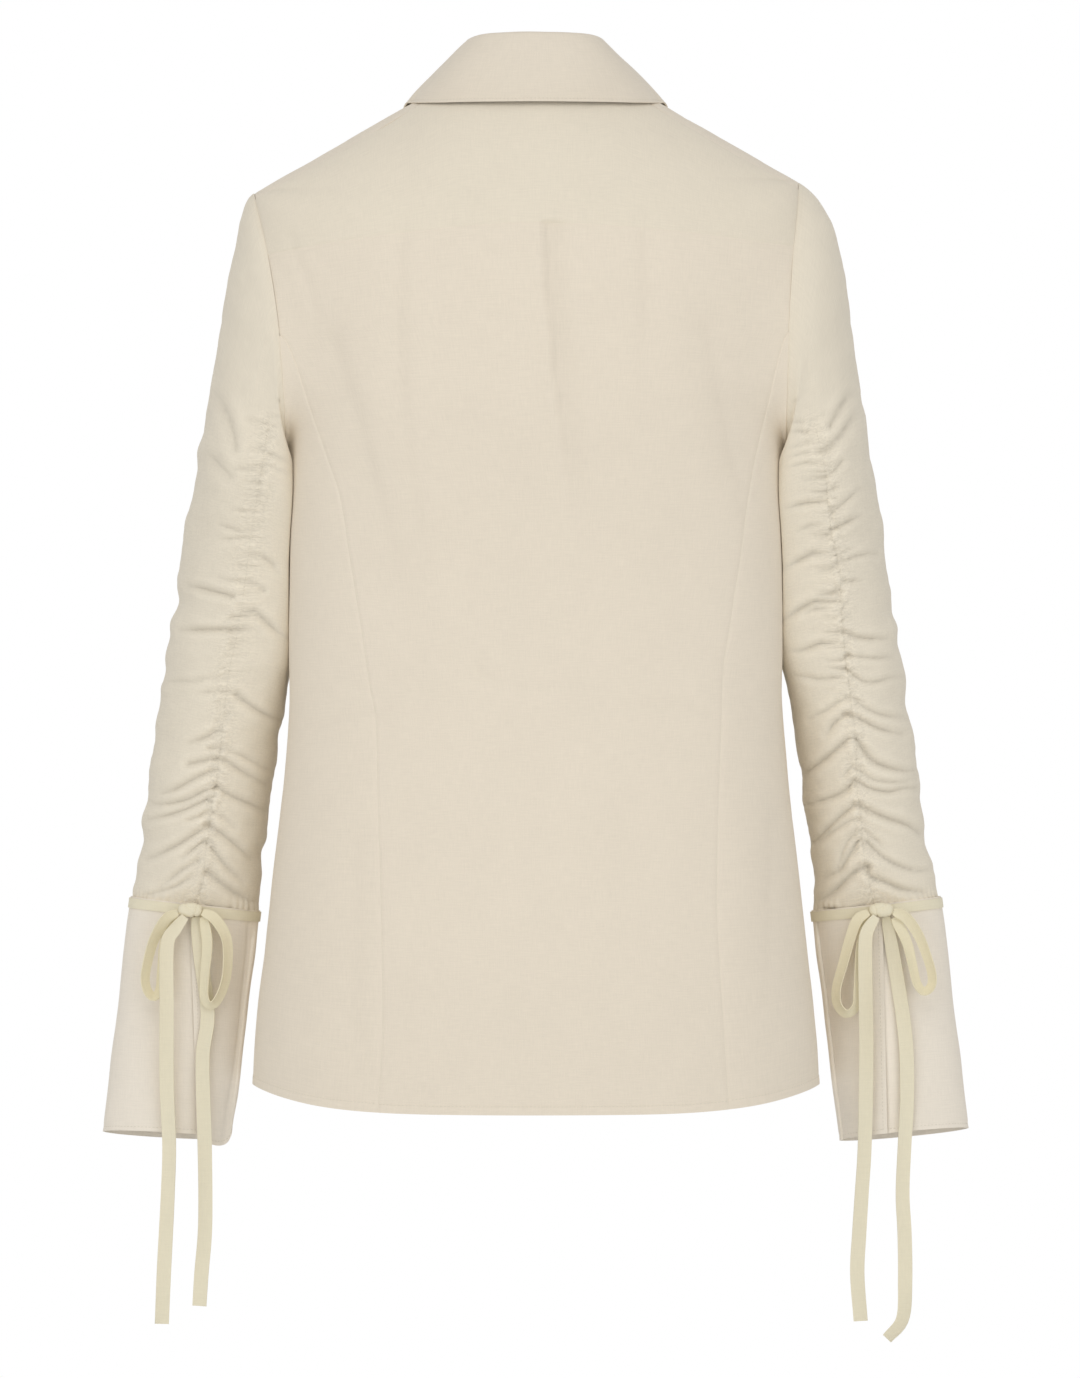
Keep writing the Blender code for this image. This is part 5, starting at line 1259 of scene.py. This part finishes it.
def sleeveRelief(side, turn, points):
    x, z = points[..., 0] * 1000, points[..., 2] * 1000
    line = stations(gatherLine[side]["up"], gatherLine[side]["out"])
    across = x - line(z)
    ring = np.linalg.norm(np.diff(points, axis=1), axis=2) * 1000
    run = np.concatenate((np.zeros((len(points), 1)), np.cumsum(ring, axis=1)), axis=1)
    half = sleeveSet["behindTurns"]
    behind = turn <= 180
    past = across[:, half:half + 1] + run - run[:, half:half + 1]
    before = across[:, :1] - (run[:, -1:] - run)
    relief = creases(np.where(behind, across, past), z, sleeveFolds[side])
    relief = relief + np.where(behind, 0.0, creases(before, z, sleeveFolds[side]))
    # Fine puckers beside the gathered line, out of step across it.
    near = np.where(behind, across, 99.0)
    reachDown = ramp(-212.0, -232.0, z)
    drop = np.abs(near) * mix(0.15, 0.75, ramp(-380.0, -520.0, z))
    close = np.exp(-(np.abs(near) / 7.5) ** 1.5) * reachDown
    at = close > 0.02
    spots = zip((near[at] / 4.4 + np.sign(near[at]) * 9.0), (z + drop)[at] / 2.0)
    waves = np.zeros(close.shape)
    waves[at] = [noise.noise(Vector((p, q, 3.7))) for p, q in spots]
    relief = relief + 0.0019 * close * waves * ramp(8, 40, np.arange(len(points))[:, None])
    relief = relief - 0.0004 * reachDown * np.exp(-(near / 1.2) ** 2)
    # The front of the sleeve.
    middle = (sleeveAt[side](points[..., 2]) + sleeveAt["inner"](points[..., 2])) * 500
    ahead = ramp(0.05, 0.45, np.sin(np.radians(turn - 180)) * (turn > 180))
    relief = relief + ahead * creases(x - middle, z, frontSleeveFolds[side])
    # The creases and puckers are kept for the colour as painted shade: darker in the valleys, lighter
    # on the ridges.
    foldShadeAndLight = relief
    relief = relief + drift(points * np.array((1.0, 1.0, 1.4)), 0.026, 0.0010, 11)
    relief = relief + drift(points * np.array((1.0, 1.0, 1.6)), 0.010, 0.00035, 17)
    rows = np.arange(len(points))[:, None]
    for edge, middle in (("outer", 180.0), ("inner", 0.0)):
        bumps = stations(*zip(*edgeBumps[side][edge][::-1]))
        away = np.abs((turn - middle + 180) % 360 - 180)
        relief = relief + 0.001 * bumps(z) * np.exp(-(away / 42) ** 2)
    leaning = ramp(0.0125, 0.0030, points[..., 0] - bodyHalf(points[..., 2])) * (z < -212)
    leaning = leaning * ramp(-425.0, -385.0, z)
    relief = relief * ramp(0, 14, rows) * ramp(0, 10, len(points) - 1 - rows) * (1 - 0.85 * leaning)
    relief = relief - 0.0004 * np.exp(-(rows / 1.3) ** 2) * ramp(95.0, 75.0, turn)
    # Small gathers where the sleeve is set into the cuff.
    low = ramp(0.0, 1.0, (rows - (len(points) - 26)) / 16) * ramp(0, 3, len(points) - 1 - rows)
    beat = turn / 9.2 + 0.6 * np.sin(np.radians(turn * 3)) + 0.4 * np.sin(np.radians(turn * 7 + 40))
    relief = relief + 0.00055 * low * np.cos(2 * pi * beat)
    # The strength of the fine crinkles, for their bumps and for painted shade in the colour.
    crinkle = np.clip(np.exp(-(near / 9.0) ** 2) * reachDown + 0.28 * ramp(-205.0, -240.0, z), 0.0, 1.0)
    sewn = [(i, np.interp(0.0, across[i, :half + 1], np.arange(half + 1)))
            for i in range(len(points)) if -562 < z[i, half // 2] < -224]
    gatherPaths[side] = np.array(sewn)
    return relief, foldShadeAndLight, crinkle


for side in sides:
    turn, points = sleeveBase(side)
    relief, foldShadeAndLight, gathers = sleeveRelief(side, turn, points)
    core = points[:, :-1].mean(axis=1)[:, None]
    piece = layCloth("sleeve_" + side, points * flips[side], core * flips[side], sleeveSet["wall"],
                     sleeveCottonPaintedShade, "sleeve_" + side, relief, around=True, foldShadeAndLight=foldShadeAndLight,
                     gathers=gathers)
    print("sleeve made", side)


# Cuffs.
cuffSet = {"wall": 0.0012, "rows": 56, "columns": 150}
for side in sides:
    t = steps(0.162, 0.162 / cuffSet["rows"])[:, None]
    s = steps(0.24, 0.24 / cuffSet["columns"])[None, :]
    turn = cuffTurn(side, s, t)
    points = cuffEdge(turn, t, side) + cuffOut(turn) * cuffLift(s)[..., None]
    if side == "left":
        # The inner corner hangs lower and curls round.
        low = ramp(0.80, 1.0, t)
        points[..., 2] -= low * (0.0068 * np.exp(-((turn - 40) / 26) ** 2)
                                 - 0.0085 * np.exp(-((turn + 4) / 20) ** 2))
    # The inner edge is pressed nearly flat.
    points[..., 1] += 0.0068 * np.exp(-((turn - 7) / 13) ** 2) * ramp(0.0, 0.15, t)
    spread, height = lengths(points)
    gap = np.minimum(np.minimum(height, height[-1] - height)[:, None],
                     np.minimum(spread, spread[-1] - spread)[None, :])
    relief = -0.0003 * np.exp(-((gap - 0.0030) / 0.0009) ** 2)
    relief = relief + drift(points, 0.034, 0.0009, 21) * ramp(0.0, 0.010, gap)
    # A pressed fold near the inner edge; past it the colour is painted lighter, as painted light on the
    # inner part.
    pressed = stations((0.0, 0.5, 1.0), (33, 27, 34) if side == "left" else (20, 20, 20))(t)
    relief = relief - 0.0005 * np.exp(-((turn - pressed) / 1.5) ** 2)
    foldShadeAndLight = 0.0020 * ramp(pressed + 2, pressed - 8, turn) * (turn > -40)
    # On the right, a strip just past the slit is painted lighter as well: painted light.
    if side == "right":
        past = turn + 360 - mix(*cuffForm["slit"][side], t)
        foldShadeAndLight = foldShadeAndLight + 0.0018 * np.exp(-((past - 4.5) / 4.5) ** 4) * ramp(0.2, 0.4, t)
    core = np.array((0.2497, -0.0415, -0.64))
    piece = layCloth("cuff_" + side, points * flips[side], core * flips[side], cuffSet["wall"],
                     cuffCottonPaintedLight, "cuff_" + side, relief, foldShadeAndLight=foldShadeAndLight)

    # The tape tied round the top of the cuff.
    s = np.linspace(0.0, 1.0, 121)[None, :]
    t = (0.006 + 0.0070 * np.linspace(0.0, 1.0, 7) / 0.1626)[:, None]
    turn = cuffTurn(side, s, t)
    lift = cuffLift(s) + cuffForm["step"] * ramp(0.90, 0.95, s)
    points = cuffEdge(turn, t) + cuffOut(turn) * (knotForm["bandNear"] + lift)[..., None]
    points[:, -1] = points[:, 0]
    piece = layCloth("tie_band_" + side, points * flips[side], core * flips[side], 0.0008, tieTape,
                     "tie_band_" + side, around=True, slot="tie_ribbon")
print("cuffs made")


# Knots.
def finishSmall(shape, name, paint, slot, *nodes):
    bmesh.ops.recalc_face_normals(shape, faces=shape.faces)
    weave = shape.loops.layers.uv.new("weave")
    for face in shape.faces:
        face.smooth = True
        for corner in face.loops:
            corner[weave].uv = (corner.vert.co.x, corner.vert.co.z)
    mesh = bpy.data.meshes.new(name)
    shape.to_mesh(mesh)
    shape.free()
    return addPiece(name, mesh, paint, slot, *nodes)


def makeKnot(side):
    shape = bmesh.new()
    made = bmesh.ops.create_icosphere(shape, subdivisions=5, radius=1.0)["verts"]
    size, middle = knotForm["size"], knotMiddle()
    for vert in made:
        way = vert.co.normalized()
        bulge = [abs(way[k]) ** 0.78 * (1 if way[k] > 0 else -1) for k in range(3)]
        wrap = 1 - 0.10 * np.exp(-((way.x - 0.30 * way.z) / 0.10) ** 2)
        wrap -= 0.09 * np.exp(-((way.x + 0.42 + 0.15 * way.z) / 0.08) ** 2)
        wrap -= 0.08 * np.exp(-((way.z - 0.35 * way.x - 0.25) / 0.07) ** 2) * (abs(way.x) < 0.7)
        vert.co = Vector([(bulge[k] * wrap * size[k] / 2 + middle[k]) for k in range(3)])
        vert.co.x *= armholes[side]["sign"]
    return finishSmall(shape, "tie_knot_" + side, tieTape, "tie_ribbon", "tie_knot_" + side)


for side in sides:
    makeKnot(side)
print("knots made")


# Stitches, laid on the face of the finished pieces.
stitchSet = {"long": 0.0019, "wide": 0.00042, "high": 0.00036, "every": 0.0027}


def gridPlace(name, up, over):
    # Row and column at a height and a width in metres; widths below zero count from the far side.
    made = madePieces[name]
    height, spread = made["height"], made["spread"]
    up, over = np.broadcast_arrays(np.atleast_1d(up), np.atleast_1d(over))
    up = np.where(up < 0, height[-1] + up, up)
    over = np.where(over < 0, spread[-1] + over, over)
    return columns(np.interp(up, height, np.arange(len(height))),
                   np.interp(over, spread, np.arange(len(spread))))


def onFace(name, places):
    made = madePieces[name]
    found = []
    for grid in (made["face"], made["out"]):
        i = np.clip(places[:, 0], 0, grid.shape[0] - 1.001)
        j = np.clip(places[:, 1], 0, grid.shape[1] - 1.001)
        p, q = i.astype(int), j.astype(int)
        f, g = (i - p)[:, None], (j - q)[:, None]
        found.append((grid[p, q] * (1 - f) + grid[p + 1, q] * f) * (1 - g)
                     + (grid[p, q + 1] * (1 - f) + grid[p + 1, q + 1] * f) * g)
    return found


def alongLine(name, first, last):
    # Places in a straight line across the cloth between two corners given in metres.
    first, last = gridPlace(name, *first)[0], gridPlace(name, *last)[0]
    return first + (last - first) * np.linspace(0.0, 1.0, 160)[:, None]


def sew(shape, name, places, every=None):
    every = every or stitchSet["every"]
    spots, out = onFace(name, places)
    run = np.concatenate(([0.0], np.cumsum(np.linalg.norm(np.diff(spots, axis=0), axis=1))))
    for at in np.arange(every / 2, run[-1], every):
        spot = Vector([np.interp(at, run, spots[:, k]) for k in range(3)])
        away = Vector([np.interp(at, run, out[:, k]) for k in range(3)]).normalized()
        ahead = Vector([np.interp(at + every / 2, run, spots[:, k])
                        - np.interp(at - every / 2, run, spots[:, k]) for k in range(3)])
        ahead = (ahead - away * ahead.dot(away)).normalized()
        across = away.cross(ahead)
        turn = Matrix((ahead * stitchSet["long"] / 2, across * stitchSet["wide"] / 2,
                       away * stitchSet["high"] / 2)).transposed().to_4x4()
        turn.translation = spot + away * stitchSet["high"] * 0.1
        bmesh.ops.create_icosphere(shape, subdivisions=1, radius=1.0, matrix=turn)


hemUp = 0.0058
sewnLines = {
    "hem": [(name, (hemUp, 0.001), (hemUp, -0.001))
            for name in ("back_centre", "side_back_left", "side_back_right", "front_left",
                         "front_right")],
    "collar": [("collar_fall", (-0.0024, 0.0024), (-0.0024, -0.0024)),
               ("collar_fall", (0.012, 0.0024), (-0.0024, 0.0024)),
               ("collar_fall", (0.012, -0.0024), (-0.0024, -0.0024))],
    "band": [("button_band", (0.004, 0.0020), (-0.004, 0.0020)),
             ("button_band", (0.004, -0.0020), (-0.004, -0.0020))],
}
for side in sides:
    name = "cuff_" + side
    sewnLines[name] = [(name, (-0.0030, 0.0030), (-0.0030, -0.0030)),
                       (name, (0.014, 0.0030), (-0.0030, 0.0030)),
                       (name, (0.014, -0.0030), (-0.0030, -0.0030))]
for name, runs in sewnLines.items():
    shape = bmesh.new()
    for piece, first, last in runs:
        sew(shape, piece, alongLine(piece, first, last))
    finishSmall(shape, "stitches_" + name, sewingThread, "cotton")
for side in sides:
    shape = bmesh.new()
    sew(shape, "sleeve_" + side, gatherPaths[side], 0.0023)
    finishSmall(shape, "stitches_gathers_" + side, sewingThread, "cotton")
print("stitches made")


# Buttons.
buttonSet = {"hole": 0.00055, "apart": 0.00115, "count": 7,
             "profile": ((0.0, 0.00055), (0.0020, 0.00060), (0.0030, 0.00075), (0.0036, 0.00100),
                         (0.0042, 0.00118), (0.0047, 0.00112), (0.0050, 0.00085), (0.0051, 0.00040),
                         (0.0049, -0.00030), (0.0042, -0.00075), (0.0030, -0.00085), (0.0, -0.00085))}
buttonPaint = bpy.data.materials.new("buttonShell")
buttonPaint.use_nodes = True
shader = buttonPaint.node_tree.nodes["Principled BSDF"]
swirl = buttonPaint.node_tree.nodes.new("ShaderNodeTexNoise")
swirl.inputs["Scale"].default_value = 220.0
tones = buttonPaint.node_tree.nodes.new("ShaderNodeValToRGB")
tones.color_ramp.elements[0].color = (0.70, 0.66, 0.56, 1.0)
tones.color_ramp.elements[1].color = (0.80, 0.77, 0.69, 1.0)
where = buttonPaint.node_tree.nodes.new("ShaderNodeTexCoord")
buttonPaint.node_tree.links.new(where.outputs["Object"], swirl.inputs["Vector"])
buttonPaint.node_tree.links.new(swirl.outputs[0], tones.inputs[0])
buttonPaint.node_tree.links.new(tones.outputs[0], shader.inputs["Base Color"])
shader.inputs["Roughness"].default_value = 0.28
shader.inputs["Coat Weight"].default_value = 0.3


def makeButton():
    # One button turned from its profile, with four holes cut through it.
    shape = bmesh.new()
    line = [shape.verts.new((r, 0.0, h)) for r, h in buttonSet["profile"]]
    edges = [shape.edges.new(pair) for pair in zip(line, line[1:])]
    bmesh.ops.spin(shape, geom=line + edges, axis=(0, 0, 1), cent=(0, 0, 0), steps=40, angle=2 * pi,
                   use_merge=True)
    bmesh.ops.remove_doubles(shape, verts=shape.verts, dist=0.00001)
    bmesh.ops.recalc_face_normals(shape, faces=shape.faces)
    disc = bpy.data.meshes.new("buttonDisc")
    shape.to_mesh(disc)
    shape.free()
    shape = bmesh.new()
    hole, apart = buttonSet["hole"], buttonSet["apart"]
    for x in (-1, 1):
        for y in (-1, 1):
            spot = Matrix.Translation((x * apart, y * apart, 0))
            bmesh.ops.create_cone(shape, cap_ends=True, segments=14, radius1=hole, radius2=hole,
                                  depth=0.006, matrix=spot)
    holes = bpy.data.meshes.new("buttonHoles")
    shape.to_mesh(holes)
    shape.free()
    blank, cutter = bpy.data.objects.new("blank", disc), bpy.data.objects.new("cutter", holes)
    for thing in (blank, cutter):
        toScene(thing)
    cut = blank.modifiers.new("holes", "BOOLEAN")
    cut.operation, cut.object, cut.solver = "DIFFERENCE", cutter, "EXACT"
    bpy.context.view_layer.update()
    ready = bpy.data.meshes.new_from_object(
        blank.evaluated_get(bpy.context.evaluated_depsgraph_get()))
    for thing in (blank, cutter):
        bpy.data.objects.remove(thing)
    return ready


buttonDisc = makeButton()
threadShape, holeShape = bmesh.new(), bmesh.new()
bandFace = madePieces["button_band"]["face"]
for number in range(1, buttonSet["count"] + 1):
    spots = [corner.co.copy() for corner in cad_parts["button_" + str(number)].data.vertices]
    middle = sum(spots, Vector()) / len(spots)
    up = max(spots, key=lambda c: c.z) - min(spots, key=lambda c: c.z)
    up = Vector((0.0, up.y, up.z)).normalized()
    outward = Vector((1.0, 0.0, 0.0)).cross(up)
    turn = Matrix((Vector((-1.0, 0.0, 0.0)), up, outward)).transposed().to_4x4()
    turn.translation = middle
    mesh = buttonDisc.copy()
    mesh.transform(turn)
    for face in mesh.polygons:
        face.use_smooth = True
    addPiece("button_" + str(number), mesh, buttonPaint, "button", "button_" + str(number))
    for x in (-1, 1):
        bar = turn @ Matrix.Translation((x * buttonSet["apart"], 0.0, 0.0006))
        bar = bar @ Matrix.Diagonal((0.00040, buttonSet["apart"] + 0.00030, 0.00042, 1.0))
        bmesh.ops.create_icosphere(threadShape, subdivisions=2, radius=1.0, matrix=bar)
    bmesh.ops.create_cone(threadShape, segments=12, radius1=0.0011, radius2=0.0013, depth=0.0012,
                          matrix=turn @ Matrix.Translation((0.0, 0.0, -0.0014)))
    # The buttonhole, worked along the band.
    row = np.interp(middle.z, bandFace[:, 7, 2], np.arange(len(bandFace)))
    line = bandFace[int(row), :, 0]
    order = np.argsort(line)
    column = np.interp(0.0, line[order], order)
    high = np.interp(row, np.arange(len(bandFace)), madePieces["button_band"]["height"])
    over = np.interp(column, np.arange(len(line)), madePieces["button_band"]["spread"])
    a = np.linspace(0.0, 2 * pi, 90)
    tall = 0.0064 * np.sign(np.cos(a)) * np.abs(np.cos(a)) ** 0.5
    broad = 0.0009 * np.sign(np.sin(a)) * np.abs(np.sin(a)) ** 0.5
    sew(holeShape, "button_band", gridPlace("button_band", high + tall, over + broad), 0.00085)
finishSmall(threadShape, "button_threads", sewingThread, "button")
finishSmall(holeShape, "buttonholes", sewingThread, "cotton")
print("buttons made")


# Light, floor and background.
world = bpy.data.worlds.new("studio")
bpy.context.scene.world = world
world.use_nodes = True
nodes, wire = world.node_tree.nodes, world.node_tree.links.new
nodes.clear()
paths, ambient, white = (nodes.new(kind) for kind in ("ShaderNodeLightPath", "ShaderNodeBackground",
                                                      "ShaderNodeBackground"))
ambient.inputs[0].default_value = (1.0, 1.0, 1.0, 1.0)
ambient.inputs[1].default_value = 0.60
white.inputs[0].default_value = (1.0, 1.0, 1.0, 1.0)
white.inputs[1].default_value = 1.0
seen, also = nodes.new("ShaderNodeMath"), nodes.new("ShaderNodeMath")
seen.operation = also.operation = "MAXIMUM"
wire(paths.outputs["Is Camera Ray"], seen.inputs[0])
wire(paths.outputs["Is Glossy Ray"], seen.inputs[1])
wire(seen.outputs[0], also.inputs[0])
wire(paths.outputs["Is Transmission Ray"], also.inputs[1])
blend, out = nodes.new("ShaderNodeMixShader"), nodes.new("ShaderNodeOutputWorld")
wire(also.outputs[0], blend.inputs[0])
wire(ambient.outputs[0], blend.inputs[1])
wire(white.outputs[0], blend.inputs[2])
wire(blend.outputs[0], out.inputs[0])

lamps = (
    ("highLamp", (0.3, 3.0, 2.4), (0.0, 0.0, -0.35), 3.0, 30.0),
    ("leftLamp", (2.3, 3.2, -0.7), (0.0, 0.0, -0.40), 3.0, 23.0),
    ("rightLamp", (-2.3, 3.2, -0.7), (0.0, 0.0, -0.40), 3.0, 23.0),
)
for name, spot, aim, size, power in lamps:
    light = bpy.data.lights.new(name, "AREA")
    light.shape = "DISK"
    light.size = size
    light.energy = power
    lamp = bpy.data.objects.new(name, light)
    lamp.location = spot
    lamp.rotation_euler = (Vector(aim) - Vector(spot)).to_track_quat("-Z", "Y").to_euler()
    toScene(lamp)

shape = bmesh.new()
bmesh.ops.create_grid(shape, x_segments=1, y_segments=1, size=5.0,
                      matrix=Matrix.Translation((0.0, 0.0, -1.45)))
mesh = bpy.data.meshes.new("floor")
shape.to_mesh(mesh)
shape.free()
floor = bpy.data.objects.new("floor", mesh)
toScene(floor)
floorPaint = bpy.data.materials.new("paleFloor")
floorPaint.use_nodes = True
floorPaint.node_tree.nodes["Principled BSDF"].inputs["Base Color"].default_value = (0.86, 0.86, 0.85, 1)
floorPaint.node_tree.nodes["Principled BSDF"].inputs["Roughness"].default_value = 0.9
mesh.materials.append(floorPaint)

view = bpy.context.scene.view_settings
view.view_transform = "Standard"
